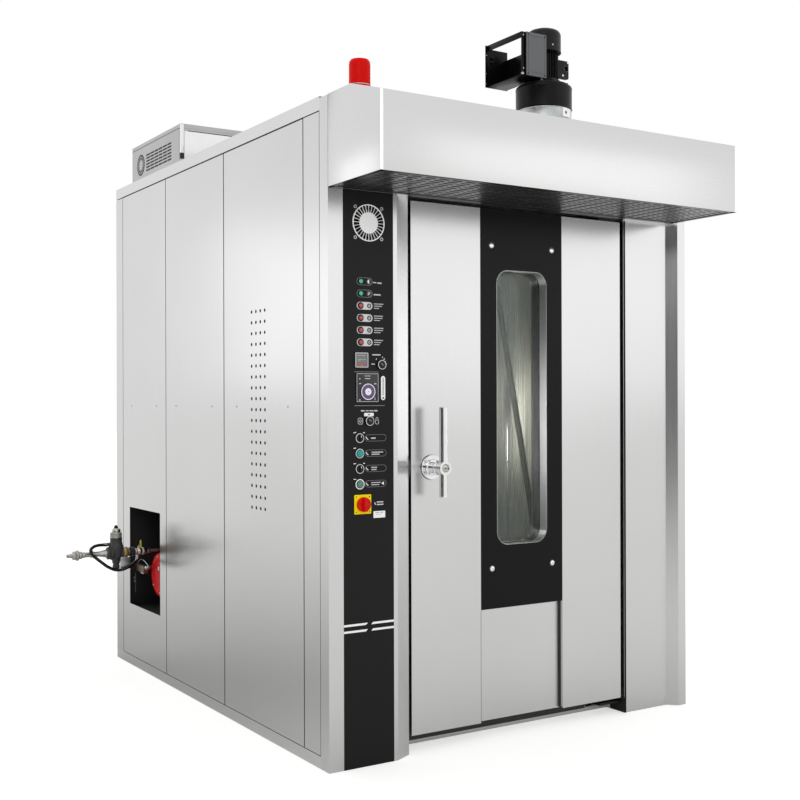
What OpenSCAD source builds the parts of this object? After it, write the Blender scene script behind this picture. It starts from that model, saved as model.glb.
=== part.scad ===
// Rotating rack oven: folded sheet-steel casings round a baking chamber, with a hanging
// turning carrier for a wheeled rack, a pivot-hung door, an extraction hood and a gas burner.
// Sizes are in millimetres. Plans are drawn from the casing's front left floor corner, with x to
// the right, y to the back and z up; on_floor() moves them to the middle of the footprint.

/* [Casing] */
// Width of the casing
body_w = 1670; // [1600:10:1800]
// Depth of the casing
body_d = 2150; // [2100:10:2400]
// Height of the casing
body_h = 2285; // [2250:5:2400]
// Thickness of the outer sheet
sheet = 2; // [1.5:0.5:3]
// Depth of a panel's folded edge
fold = 20; // [12:1:30]
// Height of the base rail
base_rail_h = 44; // [36:1:60]
// Width of the base rail
base_rail_w = 40; // [30:1:60]
// Height of the roof rail
roof_rail_h = 48; // [30:1:70]
// Thickness of the floor plate
floor_t = 14; // [8:1:18]
// Gap between neighbouring side panels
panel_seam = 4; // [2:0.5:6]
// Depth of the front frame strip on each side
front_strip_d = 59; // [50:1:70]
// Depth of the narrow side panel behind that strip
side_strip_d = 121; // [100:1:140]
// Depth of the front side panel
panel_front_d = 679; // [640:1:700]
// Depth of the middle side panel
panel_middle_d = 632; // [600:1:660]
// Depth of the rear corner fold
rear_post_d = 91; // [60:1:110]

/* [Side vents and burner opening] */
// Diameter of a vent hole
vent_hole = 11; // [8:0.5:14]
// Columns of vent holes
vent_columns = 4; // [2:1:5]
// Rows of vent holes
vent_rows = 19; // [8:1:22]
// Distance between vent columns
vent_pitch_y = 38; // [30:1:44]
// Distance between vent rows
vent_pitch_z = 41; // [30:1:46]
// Height of the lowest vent row
vent_z = 849; // [700:1:900]
// Distance of the vent field's middle from the casing's front
vent_y = 544; // [480:1:600]
// Width of the burner opening
burner_opening_w = 398; // [320:1:420]
// Height of the burner opening
burner_opening_h = 459; // [400:1:520]
// Height of the burner opening's lower edge
burner_opening_z = 289; // [240:1:300]
// Distance of the burner opening from the rear post
burner_opening_back = 94; // [60:1:110]

/* [Front columns] */
// Width of the stainless strip left of the control panel
outer_strip_w = 57; // [40:1:70]
// Width of the control panel
panel_w = 200; // [190:1:216]
// Thickness of the control panel
panel_t = 3; // [2:0.5:4]
// Width of the strip right of the control panel
inner_strip_w = 16; // [12:1:24]
// Width of the bevelled face beside the door
bevel_w = 67; // [50:1:80]
// Width of the right column
right_column_w = 307; // [280:1:340]
// Width of the right column's proud strip
right_strip_w = 41; // [30:1:60]
// Width of the right column's bevel
right_bevel_w = 34; // [20:1:50]
// Distance of the door face behind the front
door_recess = 35; // [28:1:45]

/* [Hood] */
// Width of the hood
hood_w = 1600; // [1560:5:1650]
// Reach of the hood in front of the casing
hood_reach = 340; // [300:5:400]
// Height of the hood at its back
hood_h = 311; // [280:1:340]
// Height of the hood's front face
hood_face_h = 254; // [220:1:280]
// Distance of the bend in the hood's top from the casing's front
hood_bend = 153; // [150:1:200]
// Distance of the hood's top below the casing's top
hood_step = 5; // [4:1:12]
// Width of the flange round the hood's underside
hood_flange = 22; // [15:1:30]
// Length of a slot in the hood's grille
slot_l = 36; // [28:1:42]
// Width of a slot in the hood's grille
slot_w = 5; // [3:0.5:7]
// Distance between slot columns
slot_pitch_x = 53; // [46:1:60]
// Distance between slot rows
slot_pitch_y = 28; // [18:1:34]

/* [Door] */
// Gap on the door's lock side
lock_gap = 12; // [12:1:16]
// Gap on the door's hinge side
hinge_gap = 19; // [18:1:24]
// Gap over the door
top_gap = 11; // [8:1:15]
// Height of the door's lower edge
door_z = 64; // [58:1:75]
// Thickness of the door
door_t = 95; // [85:1:95]
// Depth of the door's front skins
skin_d = 23; // [20:1:25]
// Width of the door's middle strip
middle_w = 386; // [340:1:400]
// Shift of the middle strip to the right of the door's middle
middle_shift = 2; // [0:1:6]
// Height of the recessed lower panel in the middle strip
lower_panel_h = 415; // [380:1:440]
// Thickness of the black front plate
black_t = 4; // [3:0.5:6]
// Width of the window
window_w = 238; // [200:1:250]
// Black plate above the window
plate_above = 222; // [200:1:260]
// Black plate below the window
plate_below = 233; // [200:1:270]
// Corner radius of the window
window_r = 52; // [30:1:60]
// Thickness of a window pane
pane_t = 6; // [4:1:8]
// Distance of the outer pane behind the door's face
outer_pane_y = 44; // [36:1:50]
// Distance of the inner pane behind the door's face
inner_pane_y = 80; // [70:1:84]
// Lap of the door over the oven mouth
mouth_lap = 62; // [60:1:70]
// Width of the door seal
seal_w = 18; // [12:1:20]
// Thickness of the door seal
seal_t = 9.7; // [8:0.1:10]
// Clearance of the seal from the mouth frame
seal_gap = 0.3; // [0.3:0.1:1]

/* [Door pivots and handle] */
// Radius of a pivot pin
pivot_r = 10; // [8:1:12]
// Distance of the pivot from the door's hinge edge
pivot_inset = 36; // [34:1:36]
// Wall between a pivot pin and the front of the door's core
pivot_wall = 6; // [4:1:7]
// Length of a pivot pin inside the door
pivot_l = 50; // [30:1:70]
// Thickness of a pivot arm
pivot_arm_t = 9; // [6:1:10]
// Running clearance round a turning pin or shaft
run_gap = 0.05; // [0.03:0.01:0.1]
// Distance of the handle's axis from the door's lock edge
handle_x = 85; // [75:1:120]
// Height of the handle's axis
handle_z = 1012; // [950:1:1100]
// Radius of the handle's lever tube
lever_r = 15; // [12:0.5:18]
// Length of the lever above its axis
lever_up = 215; // [160:1:240]
// Length of the lever below its axis
lever_down = 102; // [80:1:130]
// Distance of the lever's middle in front of the door
lever_out = 78; // [60:1:95]
// Radius of the handle's rose
rose_r = 44; // [36:1:50]
// Radius of the handle's neck
neck_r = 22; // [16:1:26]
// Travel of the latch bolt
bolt_travel = 15; // [10:1:18]
// Width and height of the latch bolt
bolt_s = 20; // [14:1:24]

/* [Baking chamber] */
// Width of the chamber inside
chamber_w = 1152; // [1130:1:1170]
// Depth of the chamber inside
chamber_d = 1160; // [1130:1:1180]
// Thickness of the chamber's walls
liner_t = 3; // [2:0.5:4]
// Depth of the mouth frame
mouth_d = 30; // [24:1:40]
// Distance of the ceiling below the hood's underside
ceiling_drop = 9; // [6:1:20]
// Thickness of the insulation
wool_t = 110; // [80:1:120]
// Depth of the air duct on the right wall
duct_d = 24; // [16:1:26]
// Width of the air duct on the right wall
duct_w = 460; // [400:1:480]
// Number of nozzle slots in each duct column
duct_slots = 18; // [8:1:24]

/* [Carrier] */
// Half of the carrier's width
carrier_hw = 385; // [360:1:390]
// Half of the carrier's depth
carrier_hd = 360; // [330:1:365]
// Side of a carrier tube
carrier_tube = 30; // [24:1:34]
// Height of the carrier's beams
carrier_beam_h = 40; // [30:1:50]
// Radius of the turntable
turntable_r = 548; // [530:1:552]
// Thickness of the turntable
turntable_t = 6; // [4:1:8]
// Gap between the chamber floor and the turntable
turntable_gap = 5; // [3:1:8]
// Radius of the carrier's shaft
shaft_r = 22; // [18:1:26]
// Distance of the carrier's beams below the ceiling
beam_drop = 40; // [30:1:60]
// Side of the drive gearbox
gearbox_s = 200; // [160:5:240]
// Height of the drive gearbox
gearbox_h = 110; // [90:5:140]
// Radius of the drive motor
drive_motor_r = 58; // [45:1:60]
// Length of the drive motor
drive_motor_l = 230; // [180:5:260]

/* [Roof box, fans and flue] */
// Width of the roof box
roof_box_w = 600; // [520:10:700]
// Depth of the roof box
roof_box_d = 606; // [560:1:640]
// Height of the roof box
roof_box_h = 160; // [150:1:200]
// Distance of the roof box from the casing's front
roof_box_y = 1310; // [1280:1:1340]
// Radius of the circulation fan's wheel
wheel_r = 200; // [160:1:220]
// Height of the circulation fan's wheel
wheel_h = 120; // [80:1:140]
// Radius of the circulation fan's shaft
wheel_shaft_r = 18; // [14:1:20]
// Radius of the circulation motor
wheel_motor_r = 80; // [60:1:90]
// Height of the circulation motor
wheel_motor_h = 110; // [90:1:120]
// Radius of the flue
flue_r = 75; // [60:1:90]
// Height of the flue above the casing
flue_h = 115; // [80:1:200]
// Radius of the heat exchanger's fire drum
drum_r = 150; // [130:1:170]
// Radius of a heat exchanger tube
tube_r = 35; // [25:1:40]
// Number of heat exchanger tubes
tube_count = 6; // [3:1:7]
// Height of the beacon
beacon_h = 100; // [80:1:120]
// Radius of the beacon
beacon_r = 37; // [30:1:42]

/* [Extractor on the hood] */
// Distance of the extractor's axis from the casing's left side
extractor_x = 890; // [700:1:950]
// Distance of the extractor's axis in front of the casing's front
extractor_out = 48; // [47:1:52]
// Outer radius of the extractor's housing
extractor_r = 105; // [90:1:106]
// Height of the extractor's steel collar
collar_h = 43; // [30:1:60]
// Height of the extractor's housing
extractor_h = 90; // [70:1:110]
// Radius of the extractor's motor
motor_r = 48; // [40:1:52]
// Height of the extractor's finned motor body
motor_h = 112; // [100:1:140]
// Number of cooling fins round the motor
fin_count = 24; // [12:1:30]
// Radius of the motor's cowl
cowl_r = 65; // [58:1:70]
// Height of the motor's cowl
cowl_h = 88; // [70:1:100]
// Radius of the extractor's shaft
motor_shaft_r = 11; // [8:1:14]

/* [Burner and gas train] */
// Radius of the burner's round housing
burner_r = 102; // [90:1:110]
// Distance of the burner's housing inside the left side
burner_in = 60; // [50:1:80]
// Length of the burner's housing
burner_l = 170; // [140:1:190]
// Radius of the burner's blast tube
blast_r = 50; // [40:1:60]
// Height of the burner's axis
burner_z = 444; // [430:1:460]
// Distance of the burner's axis from the casing's front
burner_y = 1749; // [1730:1:1780]
// Distance of the gas line above the burner's housing
gas_rise = 16; // [14:1:24]
// Reach of the gas line outside the casing
gas_reach = 367; // [360:1:400]
// Radius of the gas pipe
gas_r = 12.5; // [10:0.5:14]
// Radius of the regulator's body
regulator_r = 27; // [22:1:30]
// Radius of the impulse hose
hose_r = 6; // [4:0.5:7]

/* [Control panel devices] */
// Radius of the cabinet fan's guard
guard_r = 65; // [60:1:68]
// Height of the cabinet fan's axis
guard_z = 1859; // [1850:1:1870]
// Number of slots round the fan guard
guard_slots = 32; // [16:1:40]
// Radius of a signal lamp
lamp_r = 8; // [6:0.5:9]
// Side of the timer's bezel
timer_s = 52; // [48:1:56]
// Height of the timer's middle
timer_z = 1389; // [1380:1:1400]
// Width of the temperature controller's bezel
controller_w = 88; // [80:1:96]
// Height of the temperature controller's bezel
controller_h = 99; // [90:1:102]
// Height of the temperature controller's middle
controller_z = 1295; // [1290:1:1300]
// Radius of the controller's dial
dial_r = 26; // [20:1:30]
// Radius of the small knobs
knob_r = 13.5; // [10:0.5:15]
// Radius of a push button or selector
button_r = 12; // [10:0.5:13]
// Width of the ring round a push button or selector
button_ring = 3; // [2:0.5:4]
// Travel of a push button
button_travel = 2.5; // [2:0.5:4]
// Side of the main switch's plate
switch_s = 66; // [60:1:72]
// Height of the main switch's middle
switch_z = 897; // [890:1:905]
// Radius of the main switch's knob
switch_r = 25; // [18:1:26]
// Height of the highest signal lamp
lamp_top_z = 1658; // [1650:1:1670]
// Distance between signal lamps
lamp_pitch = 41.6; // [36:0.1:42]
// Height of the timer's knob
timer_knob_z = 1374; // [1370:1:1380]
// Height of the steam knob
steam_knob_z = 1181; // [1175:1:1190]
// Height of the highest selector
selector_top_z = 1123; // [1115:1:1130]
// Distance between selectors and buttons
selector_pitch = 52.4; // [48:0.1:54]

/* [Hidden] */
$fn = 64;

// Side panels, along the depth
strip_y = front_strip_d;
front_panel_y = strip_y + side_strip_d;
middle_panel_y = front_panel_y + panel_front_d;
rear_panel_y = middle_panel_y + panel_middle_d;
post_y = body_d - rear_post_d;
roof_z = body_h - roof_rail_h;
panel_top = roof_z - panel_seam;
inside_h = body_h - sheet;

// Hood
hood_top = body_h - hood_step;
hood_z = hood_top - hood_h;
hood_plate_back = 135;
soffit_gap = 0.4;

// Front columns, along the width
panel_x0 = outer_strip_w;
panel_x1 = panel_x0 + panel_w;
bevel_x0 = panel_x1 + inner_strip_w;
column_w = bevel_x0 + bevel_w;
right_x0 = body_w - right_column_w;
right_bevel_x1 = body_w - right_strip_w;
right_bevel_x0 = right_bevel_x1 - right_bevel_w;

// Door and mouth
door_x0 = column_w + lock_gap;
door_x1 = right_x0 - hinge_gap;
door_cx = (door_x0 + door_x1) / 2;
door_y = door_recess;
door_back = door_y + door_t;
door_top = hood_z - top_gap;
core_y = door_y + skin_d;
middle_x0 = door_cx + middle_shift - middle_w / 2;
middle_x1 = middle_x0 + middle_w;
window_cx = (middle_x0 + middle_x1) / 2;
lower_top = door_z + lower_panel_h;
window_z = lower_top + plate_below;
window_h = door_top - plate_above - window_z;
window_cz = window_z + window_h / 2;
skin_seam = 1;
mouth_y = door_back + seal_t + seal_gap;
mouth_x0 = door_x0 + mouth_lap;
mouth_x1 = door_x1 - mouth_lap;
mouth_top = door_top - mouth_lap;
seal_inset = pivot_inset;
pivot_x = door_x1 - pivot_inset;
pivot_y = core_y + pivot_r + pivot_wall;
handle_cx = door_x0 + handle_x;
spindle_r = 9;
bolt_y = core_y + 20;
bolt_tip_gap = 6;
keeper_t = 4;

// Chamber and carrier
chamber_y0 = mouth_y + mouth_d;
chamber_y1 = chamber_y0 + chamber_d;
chamber_x0 = door_cx - chamber_w / 2;
chamber_x1 = door_cx + chamber_w / 2;
chamber_cy = (chamber_y0 + chamber_y1) / 2;
floor_z = floor_t + liner_t;
ceiling_z = hood_z - ceiling_drop;
turntable_z = floor_z + turntable_gap;
carrier_z = turntable_z + turntable_t;
beam_top = ceiling_z - beam_drop;
beam_z = beam_top - carrier_beam_h;
hole_gap = 4;

// Rear bay and roof box
wheel_cx = roof_box_w / 2;
wheel_cy = roof_box_y + roof_box_d / 2;
wheel_z = roof_z - 60 - wheel_h;
drum_x0 = 330;
drum_x1 = 1450;
header_z = 1500;
header_h = 150;
flue_cx = 1200;
tube_x0 = 560;
tube_x1 = 1400;

// Extractor
collar_z = hood_top;
housing_z = collar_z + collar_h;
motor_z = housing_z + extractor_h;
flange_t = 14;
fins_z = motor_z + flange_t;
cowl_z = fins_z + motor_h;

// Gas train
gas_y = burner_y;
gas_z = burner_z + burner_r + gas_rise;
nozzle_x = -gas_reach;
regulator_x = -141;
valve_x = -32;

// Devices on the control panel, from the panel's left edge
guard_x = panel_x0 + panel_w / 2;
lamp_x = panel_x0 + 69;
timer_x = panel_x0 + 71;
timer_knob_x = panel_x0 + 149;
controller_x = panel_x0 + 94;
dial_z = controller_z - 14;
steam_knob_x = panel_x0 + 101;
selector_x = panel_x0 + 63.6;
switch_x = panel_x0 + 74;
device_d = 50;
fan_side = 116;
fan_depth = 38;
knob_l = 10;

// Finishes
brushed = "#c4c6c8";
dark_sheet = "#55585b";
black_plate = "#141416";
liner_grey = "#9a9c9c";
cast_black = "#232427";
machined = "#d9dadb";

// Moves a piece drawn from the front left floor corner to the part's origin
module on_floor() {
    translate([-body_w / 2, -body_d / 2, 0]) children();
}

// Mirrors a piece of the left side over to the right side
module to_right() {
    translate([body_w, 0, 0]) mirror([1, 0, 0]) children();
}

// A box from its low corner to its high corner
module block(low, high) {
    translate(low) cube(high - low);
}

// A cylinder along the depth, from its front end to the back
module along_y(x, y, z, r, l) {
    translate([x, y, z]) rotate([-90, 0, 0]) cylinder(r = r, h = l);
}

// A cylinder along the width, from its left end to the right
module along_x(x, y, z, r, l, sides = 48) {
    translate([x, y, z]) rotate([0, 90, 0]) cylinder(r = r, h = l, $fn = sides);
}

// An upright tube with its bore
module tube(x, y, z, r, bore, h) {
    translate([x, y, z]) difference() {
        cylinder(r = r, h = h);
        translate([0, 0, -1]) cylinder(r = bore, h = h + 2);
    }
}

// A rectangle with round corners, round its middle
module round_rect(w, h, r) {
    square([w - 2 * r, h], center = true);
    square([w, h - 2 * r], center = true);
    for (sx = [-1, 1], sz = [-1, 1]) {
        translate([sx * (w / 2 - r), sz * (h / 2 - r)]) circle(r = r);
    }
}

// The window's outline, pushed back from the door's face
module window_prism(y, l, inset = 0) {
    translate([window_cx, y + l, window_cz]) rotate([90, 0, 0])
        linear_extrude(height = l)
            round_rect(window_w - 2 * inset, window_h - 2 * inset, window_r - inset);
}

// Floor plate with its rails along both sides and the back
module base_frame() {
    color(brushed) on_floor() {
        linear_extrude(height = floor_t) polygon([
            [0, strip_y], [column_w - sheet, strip_y], [column_w - sheet, mouth_y],
            [right_x0 + sheet, mouth_y], [right_x0 + sheet, strip_y], [body_w, strip_y],
            [body_w, body_d], [0, body_d]
        ]);
        difference() {
            block([0, strip_y, 0], [body_w, body_d, base_rail_h]);
            block([base_rail_w, strip_y - 1, -1],
                  [body_w - base_rail_w, body_d - base_rail_w, base_rail_h + 1]);
        }
    }
}

// Roof tray with its rails folded down on three sides
module roof_panel() {
    color(brushed) on_floor() difference() {
        block([0, strip_y, roof_z], [body_w, body_d, body_h]);
        block([sheet, strip_y - 1, roof_z - 1], [body_w - sheet, body_d - sheet, inside_h]);
        translate([door_cx, chamber_cy, roof_z]) cylinder(r = shaft_r + hole_gap, h = roof_rail_h + 1);
        translate([wheel_cx, wheel_cy, roof_z])
            cylinder(r = wheel_shaft_r + hole_gap, h = roof_rail_h + 1);
        translate([flue_cx, burner_y, roof_z]) cylinder(r = flue_r + soffit_gap, h = roof_rail_h + 1);
    }
}

// Folded column that carries the control panel
module control_column() {
    inner_x = column_w - sheet;
    device_margin = 15;
    color(brushed) on_floor() difference() {
        linear_extrude(height = hood_top - sheet) polygon([
            [0, strip_y], [0, 0], [panel_x0, 0], [panel_x0, panel_t], [panel_x1, panel_t],
            [panel_x1, 0], [bevel_x0, 0], [column_w, door_recess], [column_w, mouth_y],
            [inner_x, mouth_y], [inner_x, door_recess + sheet / 2], [bevel_x0 - sheet / 3, sheet],
            [panel_x1 + sheet, sheet], [panel_x1 + sheet, panel_t + sheet],
            [panel_x0 - sheet, panel_t + sheet], [panel_x0 - sheet, sheet], [sheet, sheet],
            [sheet, strip_y]
        ]);
        block([panel_x0 + device_margin, -1, switch_z - switch_s],
              [panel_x1 - device_margin, fold, guard_z + guard_r + device_margin]);
    }
    color(brushed) on_floor() block([column_w, bolt_y - 10, handle_z - 30],
                                    [column_w + keeper_t, bolt_y + 30, handle_z + 30]);
}

// Holes for the devices, through a plate at the front of the left column
module device_holes() {
    along_y(guard_x, -1, guard_z, guard_r - 8, panel_t + 2);
    for (i = [0 : 5]) {
        along_y(lamp_x, -1, lamp_top_z - i * lamp_pitch, lamp_r, panel_t + 2);
    }
    hole_timer = timer_s / 2 - 4;
    block([timer_x - hole_timer, -1, timer_z - hole_timer],
          [timer_x + hole_timer, panel_t + 1, timer_z + hole_timer]);
    block([controller_x - controller_w / 2 + 4, -1, controller_z - controller_h / 2 + 4],
          [controller_x + controller_w / 2 - 4, panel_t + 1, controller_z + controller_h / 2 - 4]);
    along_y(timer_knob_x, -1, timer_knob_z, 3 + run_gap, panel_t + 2);
    along_y(steam_knob_x, -1, steam_knob_z, 3 + run_gap, panel_t + 2);
    for (i = [0 : 3]) {
        along_y(selector_x, -1, selector_top_z - i * selector_pitch, button_r - 2 + run_gap, panel_t + 2);
    }
    along_y(switch_x, -1, switch_z, 5 + run_gap, panel_t + 2);
}

// Black control panel, the full height of the column
module control_panel() {
    side_gap = 0.3;
    color(black_plate) on_floor() difference() {
        block([panel_x0 + side_gap, 0, 0], [panel_x1 - side_gap, panel_t, hood_z - 1]);
        device_holes();
    }
}

// Folded column on the hinge side, with the cap beside the hood
module right_column() {
    color(brushed) on_floor() {
        linear_extrude(height = hood_top - sheet) polygon([
            [right_x0, mouth_y], [right_x0, door_recess], [right_bevel_x0, door_recess],
            [right_bevel_x1, 0], [body_w, 0], [body_w, strip_y], [body_w - sheet, strip_y],
            [body_w - sheet, sheet], [right_bevel_x1 + sheet / 3, sheet],
            [right_bevel_x0 + sheet / 3, door_recess + sheet], [right_x0 + sheet, door_recess + sheet],
            [right_x0 + sheet, mouth_y]
        ]);
        block([hood_w + 0.5, 0, hood_top - sheet], [body_w, strip_y, hood_top]);
    }
}

// Soffit and back wall over the door, behind the hood
module header_panel() {
    color(brushed) on_floor() {
        translate([0, 0, hood_z]) linear_extrude(height = sheet) polygon([
            [bevel_x0 + 2 * soffit_gap, 0], [column_w + soffit_gap, door_recess - soffit_gap],
            [column_w + soffit_gap, mouth_y], [right_x0 - soffit_gap, mouth_y],
            [right_x0 - soffit_gap, door_recess - soffit_gap],
            [right_bevel_x0 - soffit_gap, door_recess - soffit_gap],
            [right_bevel_x1 - 2 * soffit_gap, 0]
        ]);
        block([column_w + soffit_gap, mouth_y - sheet, hood_z],
              [right_x0 - soffit_gap, mouth_y, inside_h]);
    }
}

// Hood: front, sides and top in one folding, with the flange that holds the grille
module hood_shell() {
    face_top = hood_z + hood_face_h;
    color(brushed) on_floor() {
        difference() {
            rotate([90, 0, 90]) linear_extrude(height = hood_w) polygon([
                [-hood_reach, hood_z], [-hood_reach, face_top], [-hood_bend, hood_top],
                [hood_plate_back, hood_top], [hood_plate_back, hood_top - sheet],
                [0, hood_top - sheet], [0, hood_z]
            ]);
            translate([sheet, 0, 0]) rotate([90, 0, 90]) linear_extrude(height = hood_w - 2 * sheet)
                polygon([
                    [sheet - hood_reach, hood_z - 1], [sheet - hood_reach, face_top - sheet / 2],
                    [-hood_bend, hood_top - sheet], [1, hood_top - sheet], [1, hood_z - 1]
                ]);
            translate([extractor_x, -extractor_out, hood_top - fold])
                cylinder(r = extractor_r - 4, h = 2 * fold);
            block([-1, strip_y - soffit_gap, hood_top - fold],
                  [sheet + soffit_gap, hood_plate_back + 1, hood_top + 1]);
        }
        difference() {
            block([0, -hood_reach, hood_z], [hood_w, 0, hood_z + sheet]);
            block([hood_flange, hood_flange - hood_reach, hood_z - 1],
                  [hood_w - hood_flange, -hood_flange, hood_z + sheet + 1]);
        }
    }
}

// Slotted grille that lies on the hood's flange
module hood_grille() {
    edge = sheet + 0.5;
    grille_w = hood_w - 2 * edge;
    grille_d = hood_reach - sheet - 1;
    columns = floor((grille_w - 2 * hood_flange) / slot_pitch_x);
    rows = floor((grille_d - 2 * hood_flange) / slot_pitch_y);
    color(dark_sheet) on_floor() translate([edge, -grille_d - 0.5, hood_z + sheet])
        linear_extrude(height = sheet) difference() {
            square([grille_w, grille_d]);
            for (i = [0 : columns - 1], j = [0 : rows - 1]) {
                translate([
                    grille_w / 2 + (i - (columns - 1) / 2) * slot_pitch_x - slot_l / 2,
                    grille_d / 2 + (j - (rows - 1) / 2) * slot_pitch_y - slot_w / 2
                ]) square([slot_l, slot_w]);
            }
        }
}

// One side panel: a tray with its edges folded inwards
module side_panel(y0, y1) {
    difference() {
        block([0, y0, base_rail_h], [fold, y1, panel_top]);
        block([sheet, y0 + sheet, base_rail_h + sheet], [fold + 1, y1 - sheet, panel_top - sheet]);
    }
}

// Round vent holes in columns and rows through the front side panel
module vent_field() {
    for (i = [0 : vent_columns - 1], j = [0 : vent_rows - 1]) {
        along_x(-1, vent_y + (i - (vent_columns - 1) / 2) * vent_pitch_y, vent_z + j * vent_pitch_z,
                vent_hole / 2, sheet + 2, 24);
    }
}

// Narrow, front and middle panel of one side
module side_set() {
    side_panel(strip_y, front_panel_y - panel_seam);
    difference() {
        side_panel(front_panel_y, middle_panel_y - panel_seam);
        vent_field();
    }
    side_panel(middle_panel_y, rear_panel_y - panel_seam);
}

// Left side, whose rear panel is open for the burner
module left_panels() {
    opening_y1 = post_y - burner_opening_back;
    color(brushed) on_floor() {
        side_set();
        difference() {
            side_panel(rear_panel_y, post_y - panel_seam);
            block([-1, opening_y1 - burner_opening_w, burner_opening_z],
                  [fold - sheet, opening_y1, burner_opening_z + burner_opening_h]);
        }
    }
}

// Right side, closed at the back
module right_panels() {
    color(brushed) on_floor() to_right() {
        side_set();
        side_panel(rear_panel_y, post_y - panel_seam);
    }
}

// Rear panel folded round both corners, with the rail that carries the roof
module rear_panel() {
    color(brushed) on_floor() {
        difference() {
            block([0, post_y, base_rail_h], [body_w, body_d, panel_top]);
            block([sheet, post_y - 1, base_rail_h - 1], [body_w - sheet, body_d - sheet, panel_top + 1]);
        }
        block([sheet, body_d - fold, panel_top - fold], [body_w - sheet, body_d - sheet, panel_top]);
        block([2 * sheet, body_d - fold, panel_top], [body_w - 2 * sheet, body_d - 2 * sheet, inside_h]);
    }
}

// Frame round the oven's mouth, which the door closes on
module mouth_frame() {
    color(liner_grey) on_floor() difference() {
        block([chamber_x0 - liner_t, mouth_y, floor_z], [chamber_x1 + liner_t, chamber_y0, hood_z]);
        block([mouth_x0, mouth_y - 1, floor_z - 1], [mouth_x1, chamber_y0 + 1, mouth_top]);
    }
}

// Chamber floor with the stub that the turntable runs on
module chamber_floor() {
    color(liner_grey) on_floor() {
        block([chamber_x0 - liner_t, mouth_y, floor_t],
              [chamber_x1 + liner_t, chamber_y1 + liner_t, floor_z]);
        translate([door_cx, chamber_cy, floor_z - 1])
            cylinder(r = shaft_r - hole_gap, h = carrier_z - floor_z);
    }
}

// Side walls, the slotted back wall and the air duct with its nozzles
module chamber_walls() {
    slot_rows = 12;
    return_w = 180;
    return_h = 14;
    rows_h = ceiling_z - 4 * fold - floor_z;
    duct_x0 = chamber_x1 - duct_d;
    duct_y0 = chamber_y1 - duct_w;
    duct_z0 = floor_z + 2 * fold;
    duct_h = ceiling_z - 3 * fold - duct_z0;
    nozzle_r = 5;
    color(liner_grey) on_floor() {
        block([chamber_x0 - liner_t, chamber_y0, floor_z], [chamber_x0, chamber_y1, ceiling_z]);
        block([chamber_x1, chamber_y0, floor_z], [chamber_x1 + liner_t, chamber_y1, ceiling_z]);
        difference() {
            block([chamber_x0 - liner_t, chamber_y1, floor_z],
                  [chamber_x1 + liner_t, chamber_y1 + liner_t, ceiling_z]);
            for (side = [-1, 1], i = [1 : slot_rows - 1]) {
                slot_z = floor_z + i * rows_h / slot_rows;
                slot_cx = door_cx + side * chamber_w / 4;
                block([slot_cx - return_w / 2, chamber_y1 - 1, slot_z],
                      [slot_cx + return_w / 2, chamber_y1 + liner_t + 1, slot_z + return_h]);
            }
        }
        difference() {
            block([duct_x0, duct_y0, duct_z0], [chamber_x1, chamber_y1, duct_z0 + duct_h]);
            block([duct_x0 + sheet, duct_y0 + sheet, duct_z0 + sheet],
                  [chamber_x1 + 1, chamber_y1 - sheet, duct_z0 + duct_h - sheet]);
            for (dy = [fold, duct_w / 2, duct_w - fold], i = [0 : duct_slots - 1]) {
                along_x(duct_x0 - 1, duct_y0 + dy, duct_z0 + (i + 0.5) * duct_h / duct_slots,
                        nozzle_r, sheet + 2, 24);
            }
        }
    }
}

// Chamber ceiling with the hole for the carrier's shaft
module chamber_ceiling() {
    color(liner_grey) on_floor() difference() {
        block([chamber_x0 - liner_t, chamber_y0, ceiling_z],
              [chamber_x1 + liner_t, chamber_y1 + liner_t, ceiling_z + liner_t]);
        translate([door_cx, chamber_cy, ceiling_z - 1]) cylinder(r = shaft_r + 1, h = liner_t + 2);
    }
}

// Mineral wool over the ceiling and outside both side walls
module insulation() {
    wool_x0 = chamber_x0 - liner_t;
    wool_x1 = chamber_x1 + liner_t;
    wool_y1 = chamber_y1 + liner_t;
    color("#cdbb8a") on_floor() {
        block([wool_x0 - wool_t, chamber_y0, floor_t], [wool_x0, wool_y1, ceiling_z]);
        block([wool_x1, chamber_y0, floor_t], [wool_x1 + wool_t, wool_y1, ceiling_z]);
        difference() {
            block([wool_x0, chamber_y0, ceiling_z + liner_t],
                  [wool_x1, wool_y1, ceiling_z + liner_t + wool_t]);
            translate([door_cx, chamber_cy, ceiling_z]) cylinder(r = shaft_r + hole_gap, h = 2 * wool_t);
        }
    }
}

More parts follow.
